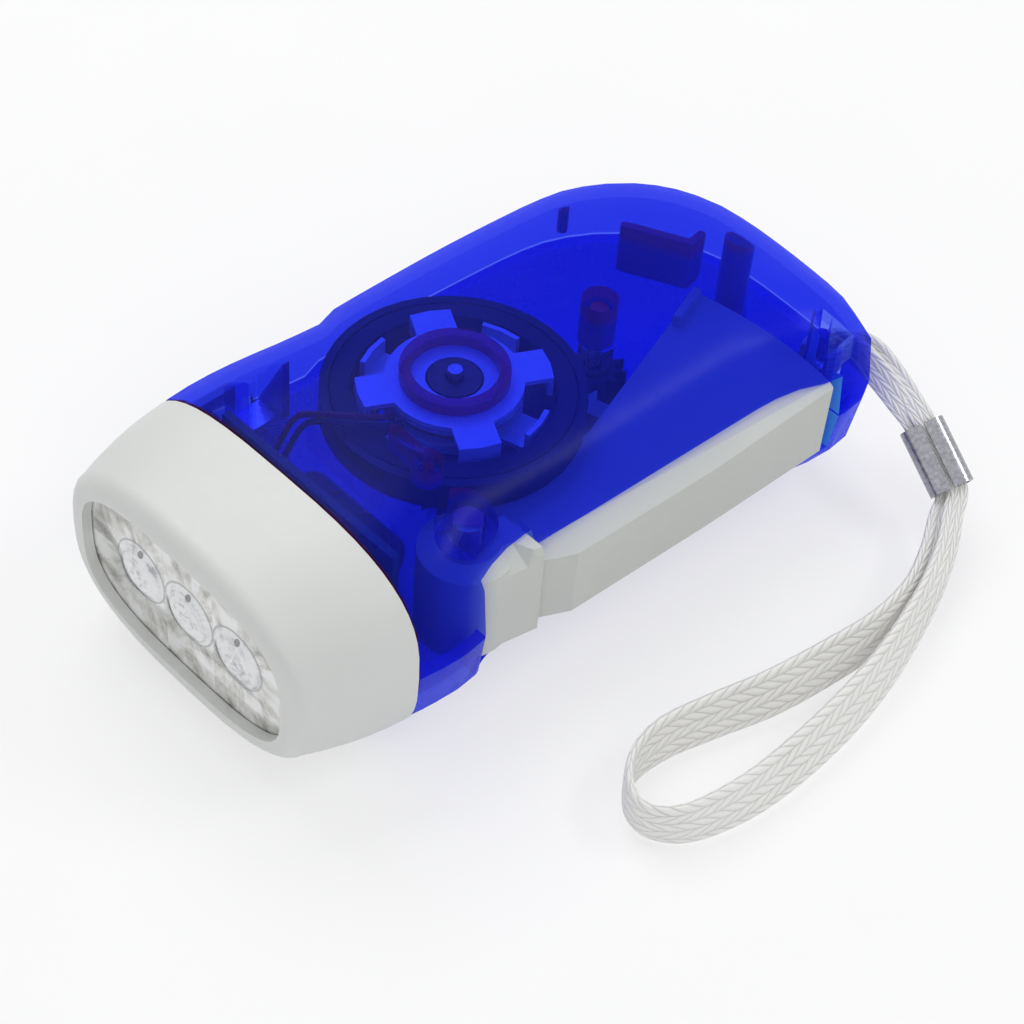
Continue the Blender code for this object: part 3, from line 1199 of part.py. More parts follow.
def stator_bobbin():
    """The bobbin between the plates, open at its rim."""
    low, high = BOBBIN_LOW, BOBBIN_HIGH
    inner = POLE_RADIUS + CLEARANCE
    profile = [(inner, high), (inner, low), (PLATE_RADIUS, low), (PLATE_RADIUS, low + BOBBIN_FLANGE),
               (BOBBIN_BARREL_RADIUS, low + BOBBIN_FLANGE), (BOBBIN_BARREL_RADIUS, high - BOBBIN_FLANGE),
               (PLATE_RADIUS, high - BOBBIN_FLANGE), (PLATE_RADIUS, high)]
    return finish(turned("stator_bobbin", profile, 28, (*ROTOR, 0), closed=True), nylon(), (*ROTOR, low))


def stator_coil():
    """The winding, one ring between the bobbin's flanges."""
    low = BOBBIN_LOW + BOBBIN_FLANGE + CLEARANCE
    high = BOBBIN_HIGH - BOBBIN_FLANGE - CLEARANCE
    inner = BOBBIN_BARREL_RADIUS + CLEARANCE
    profile = [(COIL_RADIUS, low), (COIL_RADIUS, high), (inner, high), (inner, low)]
    coil = turned("stator_coil", profile, 28, (*ROTOR, 0), closed=True)
    return finish(coil, material("copper", COPPER, 0.35, 1), (*ROTOR, low))


def centre_pole():
    """The pole that the rotor's shaft runs through."""
    low = FLYWHEEL_Z + FLYWHEEL_WEB + CLEARANCE
    profile = [(BORE_RADIUS, low), (POLE_RADIUS, low), (POLE_RADIUS, STATOR_TOP), (BORE_RADIUS, STATOR_TOP)]
    pole = turned("centre_pole", profile, 24, (*ROTOR, 0), closed=True)
    return finish(pole, material("brown_metal", BROWN_METAL, 0.5, 0.5), (*ROTOR, low))


# Squeeze lever

def lever_section(y, face_x, face_half, bevel):
    """The lever across its length: a flat outer face between two bevels, on a box."""
    ring = []
    inner_x = LEVER_INNER_KNEE.x - HOUSING_HALF_WIDTH
    for x, z in ((inner_x, -LEVER_HALF_HEIGHT), (face_x - bevel, -LEVER_HALF_HEIGHT), (face_x, -face_half),
                 (face_x, face_half), (face_x - bevel, LEVER_HALF_HEIGHT), (inner_x, LEVER_HALF_HEIGHT)):
        ring.append((x, y, MID_Z + z))
    return ring


def lever_plan(inset):
    """The lever from above: an arc at its rear, centred on the pivot, and a bent inner edge."""
    reach = LEVER_REACH - inset
    tail = arc(PIVOT, reach, LEVER_ARC_START, LEVER_INNER_BEARING, 22)
    hub_left = (PIVOT.x - HUB_RADIUS * HUB_CORNER_SHARES[0], PIVOT.y + HUB_RADIUS * HUB_CORNER_SHARES[1])
    return [(2 * HOUSING_HALF_WIDTH, LEVER_FRONT_Y + inset), *tail, tuple(LEVER_INNER_KNEE),
            hub_left, (hub_left[0], LEVER_FRONT_Y + inset)]


def lug():
    """The tall block beside the hub, whose upper bevel ends in a raised ridge."""
    ridge_y = LUG_REAR[1] - LUG_RIDGE_WIDTH
    rings = []
    for y, rise, bevel in ((PIVOT.y, 0, LUG_BEVEL), (ridge_y - LUG_RIDGE_WIDTH, 0, LUG_BEVEL),
                           (ridge_y, LUG_RIDGE_RISE, LUG_RIDGE_BEVEL),
                           (LUG_REAR[1], LUG_RIDGE_RISE, LUG_RIDGE_BEVEL)):
        share = (y - PIVOT.y) / (LUG_REAR[1] - PIVOT.y)
        face_x = LUG_FRONT_X + (LUG_REAR[0] - LUG_FRONT_X) * share
        ring = []
        for x, z in ((PIVOT.x, -HUB_HALF_HEIGHT), (face_x - LUG_BEVEL, -HUB_HALF_HEIGHT),
                     (face_x, -LUG_FACE_HALF), (face_x, LUG_FACE_HALF + rise),
                     (face_x - bevel, HUB_HALF_HEIGHT), (PIVOT.x, HUB_HALF_HEIGHT)):
            ring.append((x, y, MID_Z + z))
        rings.append(ring)
    return loft("lever_lug", rings)


def lever_hub():
    """The hub with its crowned ends and the two stubs that it turns on."""
    half = [(0, HUB_HALF_HEIGHT + STUB_LENGTH), (STUB_RADIUS, HUB_HALF_HEIGHT + STUB_LENGTH),
            (STUB_RADIUS, HUB_HALF_HEIGHT), (HUB_CROWN_RADIUS, HUB_HALF_HEIGHT), (HUB_RADIUS, HUB_FACE_HALF)]
    return turned("lever_hub", half + [(radius, -height) for radius, height in reversed(half)], 32,
                  (*PIVOT, MID_Z))


def sector():
    """The toothed arc that drives the input pinion, reaching in from a rib across the lever."""
    pitch_radius = MODULE * SECTOR_CIRCLE_TEETH / 2
    inner = pitch_radius - DEDENDUM_SHARE * MODULE - SECTOR_RIM
    step = 2 * math.pi / SECTOR_CIRCLE_TEETH
    teeth = gear_teeth(PIVOT, SECTOR_CIRCLE_TEETH, SECTOR_PHASE, -1, SECTOR_TEETH)
    last = SECTOR_PHASE + (SECTOR_TEETH - 0.5) * step
    root = pitch_radius - DEDENDUM_SHARE * MODULE
    near = SECTOR_END_BEARING
    outline = (arc(PIVOT, root, near, SECTOR_PHASE - 2 * step, 6) + teeth
               + arc(PIVOT, inner, last, near, 16))
    return prism("lever_sector", [outline], MID_Z - SECTOR_HALF_THICKNESS, MID_Z + SECTOR_HALF_THICKNESS)


def sector_rib():
    """The rib between the lever's plates that carries the toothed arc."""
    outer = MODULE * SECTOR_CIRCLE_TEETH / 2 - DEDENDUM_SHARE * MODULE - CLEARANCE
    first, last = LEVER_RIB_BEARINGS
    half = LEVER_HALF_HEIGHT - LEVER_PLATE / 2
    outline = arc(PIVOT, outer, first, last, 8) + arc(PIVOT, outer - LEVER_RIB, last, first, 8)
    return prism("lever_sector_rib", [outline], MID_Z - half, MID_Z + half)


def stop_outline():
    """The ridge at the lever's inner rear corner that meets the slot's edge when the lever is out."""
    corner = Vector(arc(PIVOT, LEVER_REACH, LEVER_INNER_BEARING, LEVER_INNER_BEARING, 1)[0])
    back = (LEVER_INNER_KNEE - corner).normalized()
    across = Vector((-back.y, back.x))
    near, far = CLEARANCE, CLEARANCE + STOP_WIDTH
    return [tuple(corner + back * along + across * side) for along, side in
            ((STOP_WIDTH, near), (STOP_LENGTH, near), (STOP_LENGTH, far), (STOP_WIDTH, far))]


def spring_lug_place():
    """Where the spring's leg pushes the lever: beside the leg, on its outer side."""
    return SPRING_PLACE + Vector((spring_radius() + SPRING_WIRE_RADIUS + CLEARANCE + SPRING_LUG / 2,
                                  SPRING_LEG - SPRING_LUG))


def squeeze_lever():
    """The lever: a deep channel with bevelled outer edges, its hub and lug, and the toothed arc inside it."""
    rear_y = PIVOT.y + LEVER_REACH + OVERRUN
    rings = [lever_section(LEVER_FRONT_Y, LEVER_START_X, LEVER_FACE_HALF_FRONT, LEVER_BEVEL_FRONT),
             lever_section(LEVER_KINK[1], LEVER_KINK[0], LEVER_FACE_HALF_FRONT, LEVER_BEVEL_FRONT),
             lever_section(LEVER_WAIST[1], LEVER_WAIST[0], LEVER_FACE_HALF_FRONT, LEVER_BEVEL_WAIST),
             lever_section(rear_y, LEVER_REAR_X, LEVER_FACE_HALF_REAR, LEVER_BEVEL_REAR)]
    lever = loft("squeeze_lever", rings)
    keep(lever, prism("lever_plan", [lever_plan(0)], 0, 2 * MID_Z))
    cavity_half = LEVER_HALF_HEIGHT - LEVER_PLATE
    cavity_rings = []
    far = -HOUSING_HALF_WIDTH
    for y, face_x in ((LEVER_KINK[1] + LEVER_PLATE, LEVER_KINK[0]), (rear_y, LEVER_REAR_X)):
        low, high = MID_Z - cavity_half, MID_Z + cavity_half
        outer = face_x - LEVER_OUTER_WALL
        cavity_rings.append([(far, y, low), (outer, y, low), (outer, y, high), (far, y, high)])
    cavity = loft("lever_cavity", cavity_rings)
    keep(cavity, cylinder("lever_cavity_reach", PIVOT, LEVER_REACH - LEVER_PLATE, 0, 2 * MID_Z, 96))
    cut(lever, cavity)
    join(lever, lever_hub(), lug(), sector_rib(), sector())
    stop_top = MID_Z + LEVER_HALF_HEIGHT
    sink = LEVER_PLATE / 2
    join(lever, prism("lever_stop_upper", [stop_outline()], stop_top - sink, stop_top + STOP_HEIGHT))
    bottom = MID_Z - LEVER_HALF_HEIGHT
    join(lever, prism("lever_stop_lower", [stop_outline()], bottom - STOP_HEIGHT, bottom + sink))
    place = spring_lug_place()
    half = SPRING_LUG / 2
    join(lever, box("spring_lug", (place.x - half, place.y - half, spring_top() - half),
                    (place.x + half, place.y + half, bottom + sink)))
    return finish(lever, grey(), (*PIVOT, MID_Z))


# Spring

def spring_radius():
    return SPRING_CORE_RADIUS + CLEARANCE + SPRING_WIRE_RADIUS


def spring_top():
    return MID_Z - LEVER_HALF_HEIGHT - RUNNING_GAP - SPRING_WIRE_RADIUS


def spring_post_place():
    """The post that the spring's lower leg leans on."""
    aside = spring_radius() + SPRING_WIRE_RADIUS + CLEARANCE + SPRING_POST_RADIUS
    return SPRING_PLACE - Vector((SPRING_LEG, aside))


def lever_spring():
    """A torsion spring: its turns round the post, one leg to a post and one along the lever."""
    radius = spring_radius()
    low = spring_top() - SPRING_TURNS * SPRING_PITCH
    points = [(SPRING_PLACE.x - SPRING_LEG, SPRING_PLACE.y - radius, low)]
    count = round(SPRING_TURNS * SPRING_POINTS_PER_TURN)
    for step in range(count + 1):
        share = step / count
        angle = -math.pi / 2 + share * SPRING_TURNS * 2 * math.pi
        points.append((SPRING_PLACE.x + radius * math.cos(angle), SPRING_PLACE.y + radius * math.sin(angle),
                       low + share * (spring_top() - low)))
    points.append((SPRING_PLACE.x + radius, SPRING_PLACE.y + SPRING_LEG, spring_top()))
    return finish(wire("lever_spring", points, SPRING_WIRE_RADIUS, 1), steel())


def wire(name, points, radius, resolution=2):
    """A round wire along the points, as one closed mesh."""
    curve = bpy.data.curves.new(name, "CURVE")
    curve.dimensions = "3D"
    curve.bevel_depth = radius
    curve.bevel_resolution = resolution
    curve.use_fill_caps = True
    spline = curve.splines.new("POLY")
    spline.points.add(len(points) - 1)
    for point, place in zip(spline.points, points):
        point.co = (*place, 1)
    return evaluated(object_from(name, curve), name)


# Electrics

def switch_body():
    """The switch inside the wall, with a window that the slide's stem runs in."""
    x = SWITCH_INNER_X
    middle_y = SWITCH_CENTRE_Y + SWITCH_TRAVEL / 2
    half = SWITCH_BODY_SIZE / 2
    body = box("switch_body", (x, middle_y - half.y, MID_Z - half.z),
               (x + SWITCH_BODY_SIZE.x, middle_y + half.y, MID_Z + half.z))
    window_y = (SWITCH_STEM.y + SWITCH_TRAVEL) / 2 + CLEARANCE
    window_z = SWITCH_STEM.z / 2 + CLEARANCE
    cut(body, box("switch_window", (x - OVERRUN, middle_y - window_y, MID_Z - window_z),
                  (x + half.x, middle_y + window_y, MID_Z + window_z)))
    return finish(body, steel())


def switch_slide():
    """The thumb slide outside the wall, with its stem and its grip ridges."""
    outer = SWITCH_OUTER_X
    cap = SWITCH_CAP
    slide = box("switch_slide", (outer - cap.x, SWITCH_CENTRE_Y - cap.y / 2, MID_Z - cap.z / 2),
                (outer, SWITCH_CENTRE_Y + cap.y / 2, MID_Z + cap.z / 2))
    stem = SWITCH_STEM / 2
    stem_end = SWITCH_INNER_X + SWITCH_BODY_SIZE.x / 2 - CLEARANCE
    join(slide, box("switch_stem", (outer - cap.x / 2, SWITCH_CENTRE_Y - stem.y, MID_Z - stem.z),
                    (stem_end, SWITCH_CENTRE_Y + stem.y, MID_Z + stem.z)))
    half_z = cap.z * SWITCH_RIDGE_SHARE
    for index in range(SWITCH_GRIP_RIDGES):
        y = SWITCH_CENTRE_Y + (index - (SWITCH_GRIP_RIDGES - 1) / 2) * cap.y / (SWITCH_GRIP_RIDGES + 1)
        join(slide, box(f"switch_ridge_{index}",
                        (outer - cap.x - SWITCH_RIDGE, y - SWITCH_RIDGE / 2, MID_Z - half_z),
                        (outer - cap.x / 2, y + SWITCH_RIDGE / 2, MID_Z + half_z)))
    return finish(slide, grey(), (outer, SWITCH_CENTRE_Y, MID_Z))


def cell_height():
    return CELL_RADIUS + HOUSING_WALL + CLEARANCE + CELL_RIB


def backup_cells():
    """Three button cells in one sleeve, lying across the housing."""
    half = CELL_COUNT * CELL_THICKNESS / 2
    profile = [(0, -half)]
    groove = CELL_RADIUS - CELL_GROOVE
    for index in range(CELL_COUNT):
        low = -half + index * CELL_THICKNESS
        high = low + CELL_THICKNESS
        profile += [(groove, low), (CELL_RADIUS, low + CELL_GROOVE), (CELL_RADIUS, high - CELL_GROOVE),
                    (groove, high)]
    profile.append((0, half))
    cells = turned("backup_cells", profile, 20)
    across = Matrix.Rotation(math.pi / 2, 4, "Y")
    cells.data.transform(Matrix.Translation((*CELL_CENTRE, cell_height())) @ across)
    return finish(cells, dark())


def wire_looks():
    return material("wire_1", WIRE_RED, 0.5), material("wire_2", WIRE_BLACK, 0.5)


def coil_wires():
    """Two wires from the coil over the flywheel to the board."""
    for index, look in enumerate(wire_looks()):
        route = [(ROTOR.x + x * MM + index * WIRE_PITCH, ROTOR.y + y * MM, STATOR_TOP + z * MM)
                 for x, y, z in COIL_WIRE_ROUTE]
        board_wire(f"coil_wire_{index + 1}", route, COIL_WIRE_POINTS, look)


def cell_wires():
    """One wire from each end of the cells to the board."""
    for index, look in enumerate(wire_looks()):
        side = 1 - 2 * index
        start_x = CELL_CENTRE.x + side * (CELL_COUNT * CELL_THICKNESS / 2 + CLEARANCE)
        route = [(start_x + side * x * MM, CELL_CENTRE.y + y * MM, cell_height() + z * MM)
                 for x, y, z in CELL_WIRE_ROUTE]
        board_wire(f"cell_wire_{index + 1}", route, CELL_WIRE_POINTS, look)


def board_wire(name, route, count, look):
    """A wire along a route and on to the board's back."""
    back = board_y() + BOARD_THICKNESS + CLEARANCE
    line = smooth_curve([*route, (route[-1][0], back, route[-1][2])], 8)
    return finish(wire(name, evenly(line, count), WIRE_RADIUS, 1), look)


# Screws

def tail_screws():
    """Two cross-head screws, driven from below through the posts at the tail."""
    for index, place in enumerate(screw_places()):
        seat = SCREW_SEAT_Z - CLEARANCE
        low = seat - SCREW_HEAD_HEIGHT
        profile = [(0, low), (SCREW_HEAD_RADIUS * SCREW_CROWN_SHARE, low),
                   (SCREW_HEAD_RADIUS, seat - SCREW_HEAD_HEIGHT * SCREW_RIM_SHARE), (SCREW_HEAD_RADIUS, seat),
                   (SCREW_RADIUS, seat), (SCREW_RADIUS, seat + SCREW_LENGTH - SCREW_RADIUS),
                   (0, seat + SCREW_LENGTH)]
        screw = turned(f"tail_screw_{index + 1}", profile, 14, (*place, 0))
        half_arm = SCREW_HEAD_RADIUS * SCREW_CROSS_SHARE
        for arm, (wide, narrow) in enumerate(((half_arm, SCREW_SLOT / 2), (SCREW_SLOT / 2, half_arm))):
            cut(screw, box(f"screw_cross_{index}_{arm}", (place.x - wide, place.y - narrow, low - OVERRUN),
                           (place.x + wide, place.y + narrow, low + SCREW_SLOT)))
        finish(screw, steel(), (*place, low))


# Strap

def strap_line():
    """Points along the strap, each with its width's direction and its share of the full width."""
    table = [(*(MM * Vector(place)), *Vector(across).normalized(), share)
             for place, across, share in STRAP_ROUTE]
    return evenly(smooth_curve(table, 10), STRAP_STEP_COUNT)


def wrist_strap():
    """The flat strap: a curve whose profile is turned and narrowed along the way."""
    line = strap_line()
    curve = bpy.data.curves.new("wrist_strap", "CURVE")
    curve.dimensions = "3D"
    curve.twist_mode = "Z_UP"
    curve.bevel_depth = STRAP_THICKNESS / 2
    curve.extrude = (STRAP_WIDTH - STRAP_THICKNESS) / 2
    curve.bevel_resolution = 1
    curve.use_fill_caps = True
    spline = curve.splines.new("POLY")
    spline.points.add(len(line) - 1)
    ahead = np.gradient(line[:, :3], axis=0)
    for point, row, direction in zip(spline.points, line, ahead):
        forward = Vector(direction).normalized()
        upright = Vector((0, 0, 1)) - forward * forward.z
        upright.normalize()
        across = Vector(row[3:6]) - forward * forward.dot(Vector(row[3:6]))
        across.normalize()
        point.co = (*row[:3], 1)
        point.tilt = math.atan2(forward.dot(upright.cross(across)), upright.dot(across))
        point.radius = row[6]
    return finish(evaluated(object_from("wrist_strap", curve), "wrist_strap"),
                  material("strap_braid", STRAP_WHITE, 0.8))


def strap_crimp():
    """A metal sleeve rolled round both strands, its two edges meeting in a seam along one broad side."""
    rows = [STRAP_ROUTE[index] for index in CRIMP_ROWS]
    places = [MM * Vector(place) for place, across, share in rows]
    middle = sum(places, Vector((0, 0, 0))) / len(places)
    forward = ((places[1] - places[0]) + (places[2] - places[3])).normalized()
    across = Vector(rows[0][1])
    across = (across - forward * forward.dot(across)).normalized()
    through = forward.cross(across)
    share = rows[0][2]
    apart = abs(((places[0] + places[1]) - (places[2] + places[3])).dot(through)) / 2
    half_depth = apart / 2 + STRAP_THICKNESS * share / 2 + 2 * CLEARANCE + CRIMP_WALL
    half_width = STRAP_WIDTH * share / 2 + CLEARANCE + CRIMP_WALL + half_depth * CRIMP_LOBE_SHARE
    ends = ((half_depth - half_width, 0), (half_width - half_depth, 0))
    sleeve = prism("strap_crimp", [capsule(*ends, half_depth, 8), capsule(*ends, half_depth - CRIMP_WALL, 8)],
                   -CRIMP_LENGTH / 2, CRIMP_LENGTH / 2)
    seam = box("crimp_seam", (-CRIMP_WALL / 2, 0, -CRIMP_LENGTH), (CRIMP_WALL / 2, OVERRUN, CRIMP_LENGTH))
    cut(sleeve, seam)
    done = finish(sleeve, material("crimp_steel", STEEL, 0.25, 1))
    turn = Matrix((across, through, forward)).transposed()
    done.matrix_world = Matrix.Translation(middle) @ turn.to_4x4()
    return done


def place_on_origin():
    """Moves the whole torch so that the middle of its underside, without the strap, is the origin."""
    bpy.context.view_layer.update()
    corners = []
    for part in PARTS.objects:
        if part.name not in ("wrist_strap", "strap_crimp"):
            corners += [part.matrix_world @ Vector(corner) for corner in part.bound_box]
    low = [min(corner[axis] for corner in corners) for axis in range(3)]
    high = [max(corner[axis] for corner in corners) for axis in range(3)]
    frame = bpy.data.objects.new("torch_frame", None)
    PARTS.objects.link(frame)
    frame.location = (-(low[0] + high[0]) / 2, -(low[1] + high[1]) / 2, -low[2])
    for part in PARTS.objects:
        if part is not frame:
            part.parent = frame
    print("torch frame moved by (mm)", [round(value / MM, 3) for value in frame.location])


def build():
    start()
    upper_shell()
    lower_shell()
    head_bezel()
    lens_window()
    reflector()
    for index, x in enumerate(lamp_places()):
        led(index, x)
    lamp_board()
    squeeze_lever()
    lever_spring()
    clutch_gear()
    input_pinion()
    idler_gear()
    shafts()
    flywheel()
    ring_magnet()
    claw_plates()
    stator_bobbin()
    stator_coil()
    centre_pole()
    switch_body()
    switch_slide()
    backup_cells()
    coil_wires()
    cell_wires()
    tail_screws()
    wrist_strap()
    strap_crimp()
    place_on_origin()


build()
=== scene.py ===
"""Looks of the hand-squeeze dynamo torch: camera, strap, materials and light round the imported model."""

import math

import bmesh
import bpy
import numpy as np
from mathutils import Matrix, Vector
from mathutils.bvhtree import BVHTree


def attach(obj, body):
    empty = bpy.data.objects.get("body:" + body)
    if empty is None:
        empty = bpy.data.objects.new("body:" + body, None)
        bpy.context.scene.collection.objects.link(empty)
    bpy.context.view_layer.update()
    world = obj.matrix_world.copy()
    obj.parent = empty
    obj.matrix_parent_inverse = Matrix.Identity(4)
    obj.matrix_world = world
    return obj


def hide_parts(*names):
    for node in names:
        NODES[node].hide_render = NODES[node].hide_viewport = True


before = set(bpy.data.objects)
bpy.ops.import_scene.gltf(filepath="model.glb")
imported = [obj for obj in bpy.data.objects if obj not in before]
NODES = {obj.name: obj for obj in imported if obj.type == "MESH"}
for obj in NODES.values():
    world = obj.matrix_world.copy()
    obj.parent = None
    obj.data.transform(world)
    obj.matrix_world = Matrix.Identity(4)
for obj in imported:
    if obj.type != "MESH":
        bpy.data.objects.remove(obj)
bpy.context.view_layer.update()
SCENE = bpy.context.scene
MM = 0.001

# What the torch is moved by, in millimetres, to put its origin under its middle
SHIFT = Vector((-1.485, 0.696, 0.0))


# Camera: its distance and aim in millimetres, its focal length in pixels of the square frame

AZIMUTH, ELEVATION, ROLL = math.radians(42.17), math.radians(47.28), math.radians(5.34)
DISTANCE = 339.2
AIM = Vector((6.47, 0.42, 4.96))
FOCAL_PIXELS = 2448.0
FRAME_PIXELS = 1024
SENSOR_WIDTH = 36
NEAR_CLIP, FAR_CLIP = 0.01, 20


def add_camera():
    data = bpy.data.cameras.new("camera")
    data.sensor_fit = "HORIZONTAL"
    data.sensor_width = SENSOR_WIDTH
    data.lens = FOCAL_PIXELS * SENSOR_WIDTH / FRAME_PIXELS
    data.clip_start = NEAR_CLIP
    data.clip_end = FAR_CLIP
    data.dof.use_dof = False
    camera = bpy.data.objects.new("camera", data)
    SCENE.collection.objects.link(camera)
    back = Vector((math.sin(AZIMUTH) * math.cos(ELEVATION), -math.cos(AZIMUTH) * math.cos(ELEVATION),
                   math.sin(ELEVATION)))
    right = Vector((math.cos(AZIMUTH), math.sin(AZIMUTH), 0))
    up = back.cross(right)
    turned_right = right * math.cos(ROLL) + up * math.sin(ROLL)
    turned_up = up * math.cos(ROLL) - right * math.sin(ROLL)
    place = (AIM + SHIFT + back * DISTANCE) * MM
    turn = Matrix((turned_right, turned_up, back)).transposed().to_4x4()
    camera.matrix_world = Matrix.Translation(place) @ turn
    SCENE.camera = camera


add_camera()


# Node helpers

# The span that most of a noise's values lie in
NOISE_LOW, NOISE_HIGH = 0.3, 0.7
WHITE = (1, 1, 1)


def new_material(name):
    made = bpy.data.materials.new(name)
    made.use_nodes = True
    tree = made.node_tree
    shader = tree.nodes["Principled BSDF"]
    return made, tree, shader


def put(tree, kind, **inputs):
    """A node with its settings and sockets set or linked by name; an underscore stands for a space."""
    node = tree.nodes.new(kind)
    for key, value in inputs.items():
        name = key.replace("_", " ")
        if hasattr(node, key) and name not in node.inputs:
            setattr(node, key, value)
        elif isinstance(value, bpy.types.NodeSocket):
            tree.links.new(value, node.inputs[name])
        else:
            node.inputs[name].default_value = value
    return node


def set_sockets(shader, **inputs):
    """Sets a shader's sockets to constants by name; an underscore stands for a space."""
    for key, value in inputs.items():
        shader.inputs[key.replace("_", " ")].default_value = value


def place_of(tree):
    return tree.nodes.new("ShaderNodeTexCoord").outputs["Object"]


def noise(tree, scale, detail=3.0, rough=0.5, vector=None):
    made = put(tree, "ShaderNodeTexNoise", Scale=scale, Detail=detail, Roughness=rough,
               Vector=vector or place_of(tree))
    return made.outputs["Fac"]


def ramp(tree, value, stops):
    """A colour ramp over (place, colour) stops."""
    made = put(tree, "ShaderNodeValToRGB", Fac=value)
    steps = made.color_ramp.elements
    while len(steps) < len(stops):
        steps.new(0.5)
    for step, (where, colour) in zip(steps, stops):
        step.position = where
        step.color = (*colour, 1)
    return made.outputs["Color"]


def blotched(tree, value, low, high):
    """Two colours, blended over the span of a noise."""
    return ramp(tree, value, ((NOISE_LOW, low), (NOISE_HIGH, high)))


def spread(tree, value, low, high):
    """A number that goes from low to high over the span of a noise."""
    made = put(tree, "ShaderNodeMapRange", Value=value, From_Min=NOISE_LOW, From_Max=NOISE_HIGH,
               To_Min=low, To_Max=high)
    return made.outputs["Result"]


def bump(tree, height, strength, distance):
    made = put(tree, "ShaderNodeBump", Strength=strength, Distance=distance, Height=height)
    return made.outputs["Normal"]


def mix_colour(tree, share, first, second):
    """The first colour, and a share of the second."""
    made = tree.nodes.new("ShaderNodeMix")
    made.data_type = "RGBA"
    share_socket, first_socket, second_socket = made.inputs[0], made.inputs[6], made.inputs[7]
    for socket, value in ((share_socket, share), (first_socket, first), (second_socket, second)):
        if isinstance(value, bpy.types.NodeSocket):
            tree.links.new(value, socket)
        else:
            socket.default_value = (*value, 1)
    return made.outputs[2]


def reckon(tree, kind, *values):
    """A math node over sockets and plain numbers."""
    node = put(tree, "ShaderNodeMath", operation=kind)
    for socket, value in zip(node.inputs, values):
        if isinstance(value, bpy.types.NodeSocket):
            tree.links.new(value, socket)
        else:
            socket.default_value = value
    return node.outputs["Value"]


def mix_shaders(tree, share, first, second):
    """The first shader, and a share of the second."""
    both = put(tree, "ShaderNodeMixShader", Fac=share)
    tree.links.new(first, both.inputs[1])
    tree.links.new(second, both.inputs[2])
    return both.outputs["Shader"]


def surface_of(tree):
    return tree.nodes["Material Output"].inputs["Surface"]


def let_through(tree, shader, tint, share):
    """Makes a surface see-through: what lies behind it is tinted, and a share is the shader's own."""
    clear = put(tree, "ShaderNodeBsdfTransparent", Color=(*tint, 1))
    both = mix_shaders(tree, share, clear.outputs["BSDF"], shader.outputs["BSDF"])
    tree.links.new(both, surface_of(tree))


def seen_directly(tree):
    """1 for what the camera sees, also in mirrors and through glass, and 0 for what lights the rest."""
    path = tree.nodes.new("ShaderNodeLightPath")
    seen = reckon(tree, "MAXIMUM", path.outputs["Is Camera Ray"], path.outputs["Is Glossy Ray"])
    return reckon(tree, "MAXIMUM", seen, path.outputs["Is Transmission Ray"])


# Materials: low and high are the two colours of the blotches, and relief is the depth of the grain

FINE_RELIEF = 0.01 * MM
GRAIN_RELIEF = 0.02 * MM


def opaque_plastic(name, low, high, rough, grain=900, relief=GRAIN_RELIEF):
    """Moulded plastic: faint colour blotches, a fine eroded grain and slightly uneven gloss."""
    made, tree, shader = new_material(name)
    blotches = noise(tree, scale=45, detail=2)
    tree.links.new(blotched(tree, blotches, low, high), shader.inputs["Base Color"])
    fine = noise(tree, grain, detail=2, rough=0.6)
    tree.links.new(spread(tree, fine, rough - 0.05, rough + 0.06), shader.inputs["Roughness"])
    tree.links.new(bump(tree, fine, strength=0.25, distance=relief), shader.inputs["Normal"])
    set_sockets(shader, Specular_IOR_Level=0.45)
    return made


def metal(name, low, high, rough, along=(1, 1, 1), grain=600, metallic=1.0):
    """Metal with drawn or turned marks, finer along an axis by its number in along."""
    made, tree, shader = new_material(name)
    mapping = put(tree, "ShaderNodeMapping", Vector=place_of(tree), Scale=along)
    marks = noise(tree, grain, detail=4, rough=0.6, vector=mapping.outputs["Vector"])
    tree.links.new(blotched(tree, marks, low, high), shader.inputs["Base Color"])
    tree.links.new(spread(tree, marks, rough - 0.06, rough + 0.08), shader.inputs["Roughness"])
    tree.links.new(bump(tree, marks, strength=0.15, distance=FINE_RELIEF), shader.inputs["Normal"])
    set_sockets(shader, Metallic=metallic)
    return made


def tinted_plastic(name, tint, low, high, haze, rough=0.3, gloss=0.4, coat=0.25):
    """See-through dyed plastic: what lies behind it is tinted at each surface, and a share is haze."""
    made, tree, shader = new_material(name)
    blotches = noise(tree, scale=35, detail=3)
    tree.links.new(blotched(tree, blotches, low, high), shader.inputs["Base Color"])
    fine = noise(tree, scale=700, detail=2, rough=0.6)
    tree.links.new(spread(tree, fine, rough - 0.03, rough + 0.05), shader.inputs["Roughness"])
    tree.links.new(bump(tree, fine, strength=0.12, distance=FINE_RELIEF), shader.inputs["Normal"])
    set_sockets(shader, Specular_IOR_Level=gloss, Coat_Weight=coat, Coat_Roughness=0.2)
    let_through(tree, shader, tint, spread(tree, blotches, haze - 0.02, haze + 0.02))
    return made


def glass(name, tint, share, rough):
    """Clear moulded plastic that lets lamps light what is behind it."""
    made, tree, shader = new_material(name)
    fine = noise(tree, scale=260, detail=2)
    tree.links.new(spread(tree, fine, rough, rough + 0.04), shader.inputs["Roughness"])
    tree.links.new(bump(tree, fine, strength=0.1, distance=FINE_RELIEF), shader.inputs["Normal"])
    set_sockets(shader, Base_Color=(0.92, 0.95, 0.97, 1), Specular_IOR_Level=1.0, Coat_Weight=1.0,
                Coat_Roughness=0.03)
    let_through(tree, shader, tint, share)
    return made


# Heights between which a rib turns from blue to wine red
RIB_TOP = (28.8 * MM, 30.6 * MM)
WINE_RED = (1.0, 0.02, 0.16)


